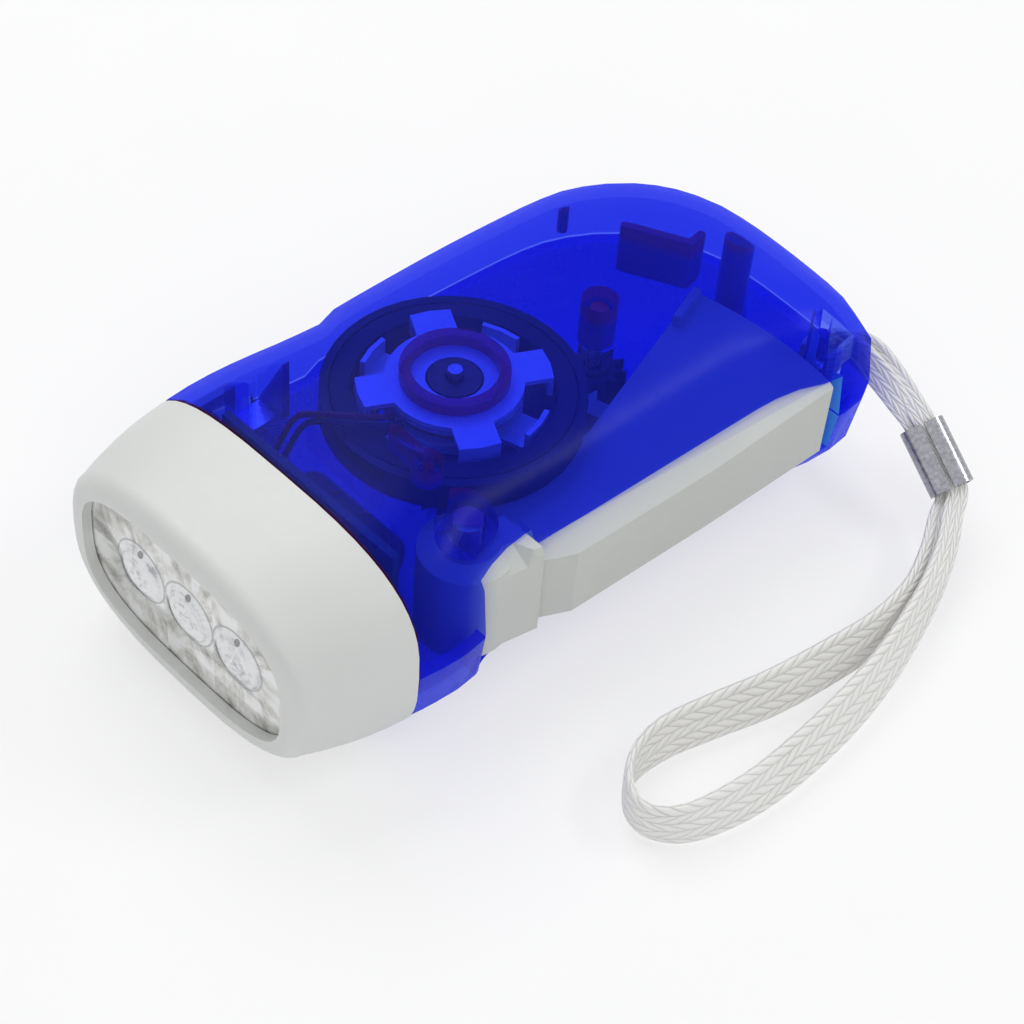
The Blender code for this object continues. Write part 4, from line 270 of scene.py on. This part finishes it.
def rib_plastic():
    """The ribs and bosses: deep blue, and wine red where they grow out of the housing's skin."""
    made = tinted_plastic("dyed_rib", tint=(0.42, 0.34, 0.95), low=(0.03, 0.02, 0.42),
                          high=(0.04, 0.03, 0.52), haze=0.72)
    tree = made.node_tree
    base = tree.nodes["Principled BSDF"].inputs["Base Color"]
    deep_blue = base.links[0].from_socket
    place = put(tree, "ShaderNodeSeparateXYZ", Vector=place_of(tree))
    near_skin = put(tree, "ShaderNodeMapRange", Value=place.outputs["Z"], From_Min=RIB_TOP[0],
                    From_Max=RIB_TOP[1])
    tree.links.new(mix_colour(tree, near_skin.outputs["Result"], deep_blue, WINE_RED), base)
    return made


BLUE = tinted_plastic("dyed_blue", tint=(0.19, 0.25, 0.985), low=(0.010, 0.022, 0.72),
                      high=(0.014, 0.03, 0.82), haze=0.14, rough=0.26, gloss=0.2)
BLUE_INSIDE = tinted_plastic("dyed_blue_inside", tint=(0.80, 0.86, 0.995), low=(0.010, 0.03, 0.80),
                             high=(0.014, 0.04, 0.88), haze=0.05, gloss=0.3, coat=0.0)
# The lower shell: the same blue plastic painted lighter and hazier, as painted light that stands in for
# light coming through it from below
BLUE_LOW_PAINTED_LIGHT = tinted_plastic("blue_low_painted_light", tint=(0.15, 0.24, 0.985), low=(0.012, 0.035, 0.86),
                          high=(0.018, 0.05, 0.93), haze=0.34, rough=0.24)
EDGE = tinted_plastic("dyed_edge", tint=(0.10, 0.05, 0.35), low=(0.10, 0.01, 0.10),
                      high=(0.16, 0.02, 0.14), haze=0.6)
# Painted highlight: a light cyan blue on the end of the lever's slot
SLOT_END_PAINTED_HIGHLIGHT = tinted_plastic("slot_end_painted_highlight", tint=(0.30, 0.6, 1.0), low=(0.06, 0.34, 0.96),
                          high=(0.09, 0.40, 1.0), haze=0.85)
RIB = rib_plastic()
GREY = opaque_plastic("head_grey", (0.67, 0.68, 0.66), (0.70, 0.71, 0.69), rough=0.42)
LEVER_GREY = opaque_plastic("lever_grey", (0.56, 0.58, 0.54), (0.60, 0.615, 0.58), rough=0.45)
NYLON = opaque_plastic("natural_nylon", (0.70, 0.70, 0.64), (0.78, 0.77, 0.71), rough=0.45)
DARK = opaque_plastic("dark_plastic", (0.012, 0.012, 0.016), (0.022, 0.022, 0.028), rough=0.4)
FERRITE = opaque_plastic("ferrite", (0.02, 0.019, 0.019), (0.045, 0.042, 0.042), rough=0.6, grain=1400,
                         relief=2 * GRAIN_RELIEF)
BOARD = opaque_plastic("board_green", (0.008, 0.11, 0.04), (0.02, 0.17, 0.06), rough=0.3)
CELL = opaque_plastic("cell_sleeve", (0.03, 0.10, 0.04), (0.05, 0.14, 0.06), rough=0.35)
WIRE_RED = opaque_plastic("wire_red", (0.45, 0.012, 0.012), (0.6, 0.02, 0.02), rough=0.4)
WIRE_BLACK = opaque_plastic("wire_black", (0.012, 0.012, 0.012), (0.03, 0.03, 0.03), rough=0.4)
STEEL = metal("bright_steel", (0.55, 0.56, 0.58), (0.72, 0.73, 0.75), rough=0.25, along=(1, 1, 6))
# Near-white and mostly non-metal: a painted reflection in place of the bright steel's mirror reflections
CLAW_PAINTED_REFLECTION = metal("claw_steel", (0.86, 0.87, 0.9), (0.97, 0.97, 0.98), rough=0.42, along=(1, 1, 5),
             metallic=0.25)
COPPER = metal("copper_winding", (0.55, 0.20, 0.08), (0.8, 0.36, 0.17), rough=0.3, along=(1, 1, 40))
BROWN = metal("brown_core", (0.16, 0.085, 0.06), (0.25, 0.15, 0.11), rough=0.45)
# Painted darker and faintly blue: painted reflections of dark, blue surroundings in place of the nickel's
# own
CRIMP_PAINTED_REFLECTION = metal("crimp_nickel", (0.25, 0.25, 0.28), (0.42, 0.42, 0.46), rough=0.2, grain=1800)
CHROME = metal("reflector_chrome", (0.86, 0.87, 0.88), (0.93, 0.93, 0.94), rough=0.12, grain=300)
LED = glass("led_epoxy", tint=(0.93, 0.93, 0.86), share=0.25, rough=0.05)


# Front window: the pattern of one lens, repeated, in the lens's own turn and distance. The pattern is
# painted glints, painted reflections and painted shade

LENS_PITCH = 9.5 * MM
LENS_RADIUS = 4.7 * MM
LENS_MIDDLE = Vector((SHIFT.x, 0.0, 17.0)) * MM
# Painted shade: a dark ring at the edge of each lens
LENS_RIM_SHARE = 0.035
LENS_RIM_WEIGHT = 0.7
LENS_RIM_PAINTED_SHADE = (0.30, 0.30, 0.31)

# The dark spot of the LED's chip, off the lens's middle
CHIP_ASIDE, CHIP_UP, CHIP_RADIUS = 0.5 * MM, 3.8 * MM, 0.5 * MM
CHIP_WEIGHT = 0.8
CHIP_GREY = (0.12, 0.12, 0.13)

# How often the painted reflections change over a turn and over the way out: streaks run outwards, arcs run
# round
STREAKS_ROUND, STREAKS_OUT, STREAK_SCALE = 1.5, 0.5, 1.7
ARCS_ROUND, ARCS_OUT, ARC_SCALE = 0.7, 4.5, 1.3
ARC_WEIGHT = 0.6
# Painted reflections of the plated reflector in streaks round the lenses, and painted glints inside the
# lenses
PAINTED_REFLECTION_STOPS = ((0.32, (0.30, 0.30, 0.28)), (0.42, (0.62, 0.62, 0.57)), (0.52, (0.88, 0.88, 0.85)),
                (0.58, (0.99, 0.99, 0.99)))
PAINTED_GLINT_STOPS = ((0.38, (0.42, 0.43, 0.46)), (0.45, (0.76, 0.78, 0.80)), (0.52, (0.93, 0.94, 0.95)),
              (0.6, (0.99, 0.99, 0.99)))


def lens_plate_painted_reflections():
    """The front window: painted glints and arcs inside each lens, painted reflections of the plated
    reflector in streaks round them, and painted shade in dark rims.
    """
    made = glass("window_lenses", tint=(0.96, 0.975, 0.975), share=0.90, rough=0.04)
    tree = made.node_tree

    def calc(kind, *values):
        return reckon(tree, kind, *values)

    def distance(x, y):
        return calc("SQRT", calc("ADD", calc("MULTIPLY", x, x), calc("MULTIPLY", y, y)))

    def marks(first, second, lens, scale):
        place = put(tree, "ShaderNodeCombineXYZ", X=first, Y=second, Z=lens).outputs["Vector"]
        return noise(tree, scale, detail=4, rough=0.6, vector=place)

    place = put(tree, "ShaderNodeSeparateXYZ", Vector=place_of(tree))
    x = calc("SUBTRACT", place.outputs["X"], LENS_MIDDLE.x)
    up = calc("SUBTRACT", place.outputs["Z"], LENS_MIDDLE.z)
    lens = calc("MAXIMUM", calc("MINIMUM", calc("ROUND", calc("DIVIDE", x, LENS_PITCH)), 1.0), -1.0)
    aside = calc("SUBTRACT", x, calc("MULTIPLY", lens, LENS_PITCH))
    out = calc("DIVIDE", distance(aside, up), LENS_RADIUS)
    turn = calc("ARCTAN2", up, aside)
    streaks = marks(calc("MULTIPLY", turn, STREAKS_ROUND), calc("MULTIPLY", out, STREAKS_OUT), lens,
                    STREAK_SCALE)
    arcs = marks(calc("MULTIPLY", out, ARCS_OUT), calc("MULTIPLY", turn, ARCS_ROUND), lens, ARC_SCALE)
    glints = calc("ADD", calc("MULTIPLY", arcs, ARC_WEIGHT), calc("MULTIPLY", streaks, 1 - ARC_WEIGHT))
    in_lens = calc("LESS_THAN", out, 1.0)
    # Painted reflections round the lenses and painted glints inside them
    colour = mix_colour(tree, in_lens, ramp(tree, streaks, PAINTED_REFLECTION_STOPS), ramp(tree, glints, PAINTED_GLINT_STOPS))
    # Painted shade on the rim of each lens
    on_rim = calc("LESS_THAN", calc("ABSOLUTE", calc("SUBTRACT", out, 1.0)), LENS_RIM_SHARE)
    colour = mix_colour(tree, calc("MULTIPLY", on_rim, LENS_RIM_WEIGHT), colour, LENS_RIM_PAINTED_SHADE)
    from_chip = distance(calc("SUBTRACT", aside, CHIP_ASIDE), calc("SUBTRACT", up, CHIP_UP))
    on_chip = calc("LESS_THAN", from_chip, CHIP_RADIUS)
    colour = mix_colour(tree, calc("MULTIPLY", on_chip, CHIP_WEIGHT), colour, CHIP_GREY)
    tree.links.new(colour, tree.nodes["Principled BSDF"].inputs["Base Color"])
    return made


WINDOW = lens_plate_painted_reflections()


# Strap: its route in millimetres, before the torch is moved onto its origin. Each point has its place, the
# direction of the strap's width there and the share of the full width that it keeps

STRAP_ROUTE = (
    ((22.0, 44.3, 16.6), (0, 0, 1), 0.74),
    ((22.7, 46.1, 16.5), (0, 0, 1), 0.74),
    ((22.3, 49.2, 16.2), (0, 0, 1), 0.74),
    ((21.9, 51.8, 15.9), (0, 0, 1), 0.74),
    ((22.4, 53.7, 15.6), (0, 0.1, 1), 0.74),
    ((25.0, 54.2, 15.3), (0, 0.25, 1), 0.7),
    ((28.8, 53.2, 14.9), (0.05, 0.6, 0.9), 0.62),
    ((33.4, 51.9, 14.2), (0.2, 0.8, 0.55), 0.52),
    ((37.8, 50.6, 13.3), (0.3, 0.85, 0.4), 0.46),
    ((45.6, 48.7, 9.1), (0.3, 0.85, 0.4), 0.46),
    ((48.5, 45.0, 7.5), (0.6, 0.75, 0.0), 0.43),
    ((51.8, 39.6, 6.2), (0.65, 0.5, -0.5), 0.53),
    ((55.3, 31.2, 5.3), (0.55, 0.2, -0.8), 0.73),
    ((58.5, 19.8, 4.5), (0.5, 0, -0.85), 0.92),
    ((60.3, 8.5, 4.2), (0.5, 0, -0.85), 1.0),
    ((60.9, -3.2, 4.0), (0.45, 0, -0.85), 1.0),
    ((60.3, -11.5, 3.9), (0.35, 0, -0.9), 1.0),
    ((58.2, -18.9, 3.9), (0.2, 0.05, -0.95), 1.0),
    ((54.6, -22.3, 3.9), (0.05, 0.05, -1), 1.0),
    ((50.6, -21.5, 3.9), (0, 0, -1), 1.0),
    ((47.6, -17.6, 3.9), (0.1, 0, -1), 1.0),
    ((47.1, -11.4, 3.9), (0.3, 0, -0.95), 1.0),
    ((48.9, -3.8, 3.9), (0.4, 0, -0.9), 1.0),
    ((51.3, 4.6, 4.0), (0.45, 0, -0.85), 1.0),
    ((53.0, 14.0, 4.3), (0.45, 0, -0.85), 0.98),
    ((54.0, 23.4, 4.6), (0.45, 0.1, -0.85), 0.92),
    ((53.0, 31.8, 4.9), (0.55, 0.2, -0.8), 0.76),
    ((50.2, 38.9, 5.2), (0.65, 0.5, -0.5), 0.58),
    ((47.2, 44.1, 6.3), (0.6, 0.75, 0.0), 0.48),
    ((44.9, 47.8, 8.0), (0.3, 0.85, 0.4), 0.46),
    ((37.2, 49.8, 12.2), (0.3, 0.85, 0.4), 0.46),
    ((32.4, 50.9, 13.6), (0.2, 0.75, 0.6), 0.52),
    ((27.6, 52.0, 14.6), (0.05, 0.5, 0.9), 0.62),
    ((23.2, 52.4, 15.4), (0, 0.2, 1), 0.7),
    ((20.1, 51.6, 15.8), (0, 0, 1), 0.74),
    ((18.7, 49.2, 16.2), (0, 0, 1), 0.74),
    ((18.3, 46.1, 16.5), (0, 0, 1), 0.74),
    ((19.0, 44.3, 16.6), (0, 0, 1), 0.74),
)
STRAP_WIDTH = 7.0
STRAP_THICKNESS = 1.3

# The braid fills this share of the strap's width and thickness, and where it is gathered it keeps at least
# the second share of its thickness
BRAID_SHARE = 0.985
GATHERED_SHARE = 0.35

# Powers of the flat oval: below 1 they square it off
ACROSS_POWER, THROUGH_POWER = 0.75, 0.6
PROFILE_SIDES = 24
STEPS_PER_POINT = 12
STRAP_STEPS = 420

# Yarns: lanes across one face, pitch along it in millimetres, slant in pitches over a lane, and how flat
# their backs and the lanes are
BRAID_LANES = 5.0
BRAID_PITCH = 2.3
YARN_SLANT = 1.15
YARN_POWER, LANE_POWER = 2.2, 3.0
FIBRE_SHARE = 0.18
BRAID_RELIEF = 0.28 * MM
# The gaps between the yarns are painted grey: painted shade
GAP_PAINTED_SHADE, YARN_WHITE, WORN_WHITE = (0.60, 0.585, 0.55), (0.88, 0.87, 0.84), (0.93, 0.925, 0.90)
YARN_WHITE_FROM = 0.40
MOTTLE_SHARE = 0.35


def braid_material():
    """Flat braid: lanes of slanting yarns that make chevrons, each yarn ridged and made of fine fibres,
    with painted shade in the gaps between the yarns.
    """
    made, tree, shader = new_material("strap_braid")

    def calc(kind, *values):
        return reckon(tree, kind, *values)

    def ridge_over(unit, power):
        """1 along the middle of a unit stretch, 0 at its ends."""
        from_middle = calc("ABSOLUTE", calc("SUBTRACT", unit, 0.5))
        return calc("SUBTRACT", 1.0, calc("POWER", calc("MULTIPLY", from_middle, 2.0), power))

    uv = put(tree, "ShaderNodeUVMap", uv_map="UVMap").outputs["UV"]
    face = put(tree, "ShaderNodeSeparateXYZ", Vector=uv)
    lane = calc("MULTIPLY", face.outputs["X"], BRAID_LANES)
    odd = calc("MODULO", calc("FLOOR", lane), 2.0)
    in_lane = calc("FRACT", lane)
    side = calc("SUBTRACT", calc("MULTIPLY", odd, 2.0), 1.0)
    slant = calc("MULTIPLY", side, calc("SUBTRACT", in_lane, 0.5))
    yarn = calc("ADD", face.outputs["Y"], calc("MULTIPLY", slant, YARN_SLANT))
    yarn = calc("ADD", yarn, calc("MULTIPLY", odd, 0.5))
    height = calc("MULTIPLY", ridge_over(calc("FRACT", yarn), YARN_POWER), ridge_over(in_lane, LANE_POWER))
    fibres = noise(tree, scale=2600, detail=3, rough=0.6)
    mottled = noise(tree, scale=160, detail=3, rough=0.55)
    # Painted shade: grey in the gaps between the yarns, white on their backs
    colour = ramp(tree, height, ((0.0, GAP_PAINTED_SHADE), (YARN_WHITE_FROM, YARN_WHITE)))
    colour = mix_colour(tree, spread(tree, mottled, 0.0, MOTTLE_SHARE), colour, WORN_WHITE)
    tree.links.new(colour, shader.inputs["Base Color"])
    relief = calc("ADD", height, calc("MULTIPLY", fibres, FIBRE_SHARE))
    tree.links.new(bump(tree, relief, strength=0.6, distance=BRAID_RELIEF), shader.inputs["Normal"])
    set_sockets(shader, Roughness=0.6, Sheen_Weight=0.35, Sheen_Roughness=0.4)
    return made


def smooth_curve(points, per_span):
    """Points on the smooth curve through the given ones."""
    given = np.array(points, float)
    padded = np.vstack((2 * given[0] - given[1], given, 2 * given[-1] - given[-2]))
    found = []
    for a, b, c, d in zip(padded, padded[1:], padded[2:], padded[3:]):
        for t in np.linspace(0, 1, per_span, endpoint=False):
            found.append(0.5 * (2 * b + (c - a) * t + (2 * a - 5 * b + 4 * c - d) * t**2
                                + (3 * b - a - 3 * c + d) * t**3))
    found.append(given[-1])
    return np.array(found)


def evenly(points, count):
    """The same line in even steps, and its length."""
    steps = np.linalg.norm(np.diff(points[:, :3], axis=0), axis=1)
    along = np.concatenate(([0], np.cumsum(steps)))
    wanted = np.linspace(0, along[-1], count)
    return np.array([np.interp(wanted, along, column) for column in points.T]).T, along[-1]


def strap_profile():
    """The strap's flat oval, from -1 to 1 each way."""
    profile = []
    for angle in np.linspace(0, 2 * math.pi, PROFILE_SIDES, endpoint=False):
        across, through = math.cos(angle), math.sin(angle)
        profile.append((math.copysign(abs(across) ** ACROSS_POWER, across),
                        math.copysign(abs(through) ** THROUGH_POWER, through)))
    return profile


def profile_run(profile):
    """How far round the oval each of its points lies, where each of the strap's two faces counts 1."""
    half_size = (STRAP_WIDTH / 2, STRAP_THICKNESS / 2)
    sides = [math.dist(np.array(p) * half_size, np.array(q) * half_size)
             for p, q in zip(profile, profile[1:] + profile[:1])]
    run = np.cumsum([0] + sides)
    return run / run[-1] * 2


def strap_ring(row, direction, profile):
    """The oval's points at one step of the route, in millimetres."""
    forward = Vector(direction).normalized()
    across = Vector(row[3:6]) - forward * forward.dot(Vector(row[3:6]))
    across.normalize()
    through = forward.cross(across)
    share = row[6]
    half_width = STRAP_WIDTH * BRAID_SHARE / 2 * share
    half_depth = STRAP_THICKNESS * BRAID_SHARE / 2 * (GATHERED_SHARE + (1 - GATHERED_SHARE) * share)
    middle = Vector(row[:3])
    return [middle + across * x * half_width + through * y * half_depth for x, y in profile]


def strap_mesh(line, length):
    """One closed tube along the line, with the braid's lanes and pitches in its UV map."""
    profile = strap_profile()
    run = profile_run(profile)
    work = bmesh.new()
    uv_layer = work.loops.layers.uv.new("UVMap")
    rings = [[work.verts.new(point * MM) for point in strap_ring(row, direction, profile)]
             for row, direction in zip(line, np.gradient(line[:, :3], axis=0))]
    step = length / (STRAP_STEPS - 1) / BRAID_PITCH
    for i, (ring, after) in enumerate(zip(rings, rings[1:])):
        for j in range(PROFILE_SIDES):
            k = (j + 1) % PROFILE_SIDES
            face = work.faces.new((ring[j], ring[k], after[k], after[j]))
            face.smooth = True
            corners = ((run[j], i * step), (run[j + 1], i * step), (run[j + 1], (i + 1) * step),
                       (run[j], (i + 1) * step))
            for loop, uv in zip(face.loops, corners):
                loop[uv_layer].uv = uv
    work.faces.new(list(reversed(rings[0])))
    work.faces.new(rings[-1])
    bmesh.ops.recalc_face_normals(work, faces=work.faces)
    mesh = bpy.data.meshes.new("strap_braid")
    work.to_mesh(mesh)
    work.free()
    return mesh


def add_strap():
    """The braided strap, its turns and widths read along the route."""
    rows = [(*(Vector(place) + SHIFT), *Vector(across).normalized(), share)
            for place, across, share in STRAP_ROUTE]
    line, length = evenly(smooth_curve(rows, STEPS_PER_POINT), STRAP_STEPS)
    mesh = strap_mesh(line, length)
    mesh.materials.append(braid_material())
    strap = bpy.data.objects.new("strap_braid", mesh)
    SCENE.collection.objects.link(strap)
    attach(strap, "housing")
    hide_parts("wrist_strap")


add_strap()


# CAD nodes

LOOKS = {
    "upper_shell": BLUE, "lower_shell": BLUE_LOW_PAINTED_LIGHT,
    "head_bezel": GREY, "squeeze_lever": LEVER_GREY, "switch_slide": GREY,
    "lens_window": WINDOW, "reflector": CHROME, "led_1": LED, "led_2": LED, "led_3": LED,
    "lamp_board": BOARD, "switch_body": STEEL, "backup_cells": CELL,
    "clutch_gear": DARK, "idler_gear": DARK, "input_pinion": DARK, "lever_spring": STEEL,
    "clutch_shaft": STEEL, "idler_shaft": STEEL, "rotor_shaft": STEEL,
    "flywheel": DARK, "ring_magnet": FERRITE,
    "claw_plate_upper": CLAW_PAINTED_REFLECTION, "claw_plate_lower": CLAW_PAINTED_REFLECTION,
    "stator_bobbin": NYLON, "stator_coil": COPPER, "centre_pole": BROWN,
    "coil_wire_1": WIRE_RED, "coil_wire_2": WIRE_BLACK,
    "cell_wire_1": WIRE_RED, "cell_wire_2": WIRE_BLACK,
    "tail_screw_1": STEEL, "tail_screw_2": STEEL, "strap_crimp": CRIMP_PAINTED_REFLECTION,
}

# Degrees between two faces above which the edge between them stays crisp
USUAL_ANGLE = 38
CRISP_ANGLES = {"squeeze_lever": 14, "claw_plate_upper": 20, "claw_plate_lower": 20}
WELD_DISTANCE = 0.002 * MM


def dress_node(name, look):
    """Gives a node its material and smooth shading between its sharp edges."""
    node = NODES[name]
    mesh = node.data
    mesh.materials.clear()
    mesh.materials.append(look)
    if mesh.has_custom_normals:
        bpy.context.view_layer.objects.active = node
        with bpy.context.temp_override(object=node, active_object=node, selected_objects=[node]):
            bpy.ops.mesh.customdata_custom_splitnormals_clear()
    weld = node.modifiers.new("weld", "WELD")
    weld.merge_threshold = WELD_DISTANCE
    mesh.shade_smooth()
    edges = node.modifiers.new("edges", "EDGE_SPLIT")
    edges.split_angle = math.radians(CRISP_ANGLES.get(name, USUAL_ANGLE))
    edges.use_edge_sharp = False


for part_name, part_look in LOOKS.items():
    dress_node(part_name, part_look)


# Faces of the housing's shells

SHELL_MIDDLE = Vector((0, 0, 17)) * MM
PAST_SKIN = 0.02 * MM

# Deeper than this under the outer skin, a face belongs to a rib, post or boss
SKIN_DEPTH = 2.5 * MM

# Walls without ribs, as corners seen from above: inside the lever's slot, and the long left wall
WALL_BOXES = (
    ((8.0 * MM, -16.0 * MM), (40.0 * MM, 39.5 * MM)),
    ((-40.0 * MM, -12.0 * MM), (-20.0 * MM, 60.0 * MM)),
)

# A face that looks to the head has a normal with y below this
TO_HEAD = -0.95
FRONT_Y = -34.5 * MM
SLOT_END_X, SLOT_END_Y, SLOT_END_SLACK = 18.0 * MM, 40.0 * MM, 0.4 * MM


def outer_faces(mesh):
    """The faces that look away from the shell's middle and that nothing else of the shell covers."""
    points = [vertex.co for vertex in mesh.vertices]
    polygons = [tuple(face.vertices) for face in mesh.polygons]
    tree = BVHTree.FromPolygons(points, polygons)
    found = []
    for face in mesh.polygons:
        away = face.normal.dot(face.center - SHELL_MIDDLE) > 0
        if away and tree.ray_cast(face.center + face.normal * PAST_SKIN, face.normal)[0] is None:
            found.append(face.index)
    return found


def on_wall(place):
    """Whether a place is on one of the walls that have no ribs."""
    return any(low[0] < place.x < high[0] and low[1] < place.y < high[1] for low, high in WALL_BOXES)


def dress_inside(name, inside, rib):
    """Gives the shell's inner skin and its ribs, posts and bosses looks of their own."""
    mesh = NODES[name].data
    outer = outer_faces(mesh)
    points = [vertex.co for vertex in mesh.vertices]
    skin = BVHTree.FromPolygons(points, [tuple(mesh.polygons[index].vertices) for index in outer])
    inside_slot, rib_slot = len(mesh.materials), len(mesh.materials) + 1
    mesh.materials.append(inside)
    mesh.materials.append(rib)
    for index in sorted(set(range(len(mesh.polygons))) - set(outer)):
        face = mesh.polygons[index]
        depth = max(skin.find_nearest(points[vertex])[3] for vertex in face.vertices)
        in_rib = depth > SKIN_DEPTH and not on_wall(face.center)
        face.material_index = rib_slot if in_rib else inside_slot


def dress_edges(name):
    """Darkens the shell's front edge, at the head, and paints a highlight on the end of the lever's slot.
    """
    mesh = NODES[name].data
    edge_slot, slot_end_slot = len(mesh.materials), len(mesh.materials) + 1
    mesh.materials.append(EDGE)
    mesh.materials.append(SLOT_END_PAINTED_HIGHLIGHT)
    for face in mesh.polygons:
        if face.normal.y < TO_HEAD:
            if face.center.y < FRONT_Y:
                face.material_index = edge_slot
            # Painted highlight on the end of the lever's slot
            elif abs(face.center.y - SLOT_END_Y) < SLOT_END_SLACK and face.center.x > SLOT_END_X:
                face.material_index = slot_end_slot


dress_inside("upper_shell", BLUE_INSIDE, RIB)
dress_edges("upper_shell")
dress_edges("lower_shell")


# Stage and light, in metres and watts

FLOOR_HALF = 3
FLOOR_DROP = 0.2 * MM
FLOOR_LOW, FLOOR_HIGH = (0.93, 0.93, 0.93), (0.95, 0.95, 0.95)

# The share of plain white in what is seen of the floor; the rest keeps the torch's shadow
FLOOR_WHITE_SHARE = 0.6

LAMP_AIM = Vector((0, 0, 0.01))
LAMPS = {
    "key": {"place": (-0.35, 0.10, 0.60), "size": (0.45, 0.45), "power": 1.72},
    "fill": {"place": (0.45, -0.45, 0.40), "size": (0.5, 0.4), "power": 0.62},
    "shoulder": {"place": (0.36, 0.45, 0.62), "size": (0.35, 0.1), "power": 1.1},
}
SKY_COLOUR, SKY_STRENGTH = (0.97, 0.98, 1.0), 0.56


def add_floor():
    mesh = bpy.data.meshes.new("floor")
    corners = [(-FLOOR_HALF, -FLOOR_HALF, 0), (FLOOR_HALF, -FLOOR_HALF, 0), (FLOOR_HALF, FLOOR_HALF, 0),
               (-FLOOR_HALF, FLOOR_HALF, 0)]
    mesh.from_pydata(corners, [], [(0, 1, 2, 3)])
    made, tree, shader = new_material("floor_white")
    cloudy = noise(tree, scale=30, detail=3)
    tree.links.new(blotched(tree, cloudy, FLOOR_LOW, FLOOR_HIGH), shader.inputs["Base Color"])
    set_sockets(shader, Roughness=0.9, Specular_IOR_Level=0.1)
    share = reckon(tree, "MULTIPLY", seen_directly(tree), FLOOR_WHITE_SHARE)
    white = put(tree, "ShaderNodeEmission", Color=(*WHITE, 1), Strength=1.0)
    both = mix_shaders(tree, share, shader.outputs["BSDF"], white.outputs["Emission"])
    tree.links.new(both, surface_of(tree))
    mesh.materials.append(made)
    floor = bpy.data.objects.new("floor", mesh)
    SCENE.collection.objects.link(floor)
    floor.location.z = -FLOOR_DROP


def add_lamp(name, place, size, power):
    data = bpy.data.lights.new(name, "AREA")
    data.shape = "RECTANGLE"
    data.size, data.size_y = size
    data.energy = power
    lamp = bpy.data.objects.new(name, data)
    SCENE.collection.objects.link(lamp)
    lamp.location = place
    lamp.rotation_euler = (LAMP_AIM - Vector(place)).to_track_quat("-Z", "Y").to_euler()


def add_world():
    """White behind the floor for what the camera, mirrors and glass see, and a softer light elsewhere."""
    world = bpy.data.worlds.new("studio")
    SCENE.world = world
    world.use_nodes = True
    tree = world.node_tree
    tree.nodes.clear()
    out = tree.nodes.new("ShaderNodeOutputWorld")
    white = put(tree, "ShaderNodeBackground", Color=(*WHITE, 1), Strength=1.0)
    soft = put(tree, "ShaderNodeBackground", Color=(*SKY_COLOUR, 1), Strength=SKY_STRENGTH)
    both = mix_shaders(tree, seen_directly(tree), soft.outputs["Background"], white.outputs["Background"])
    tree.links.new(both, out.inputs["Surface"])


add_floor()
for lamp_name, lamp_values in LAMPS.items():
    add_lamp(lamp_name, **lamp_values)
add_world()
SCENE.view_settings.view_transform = "Standard"
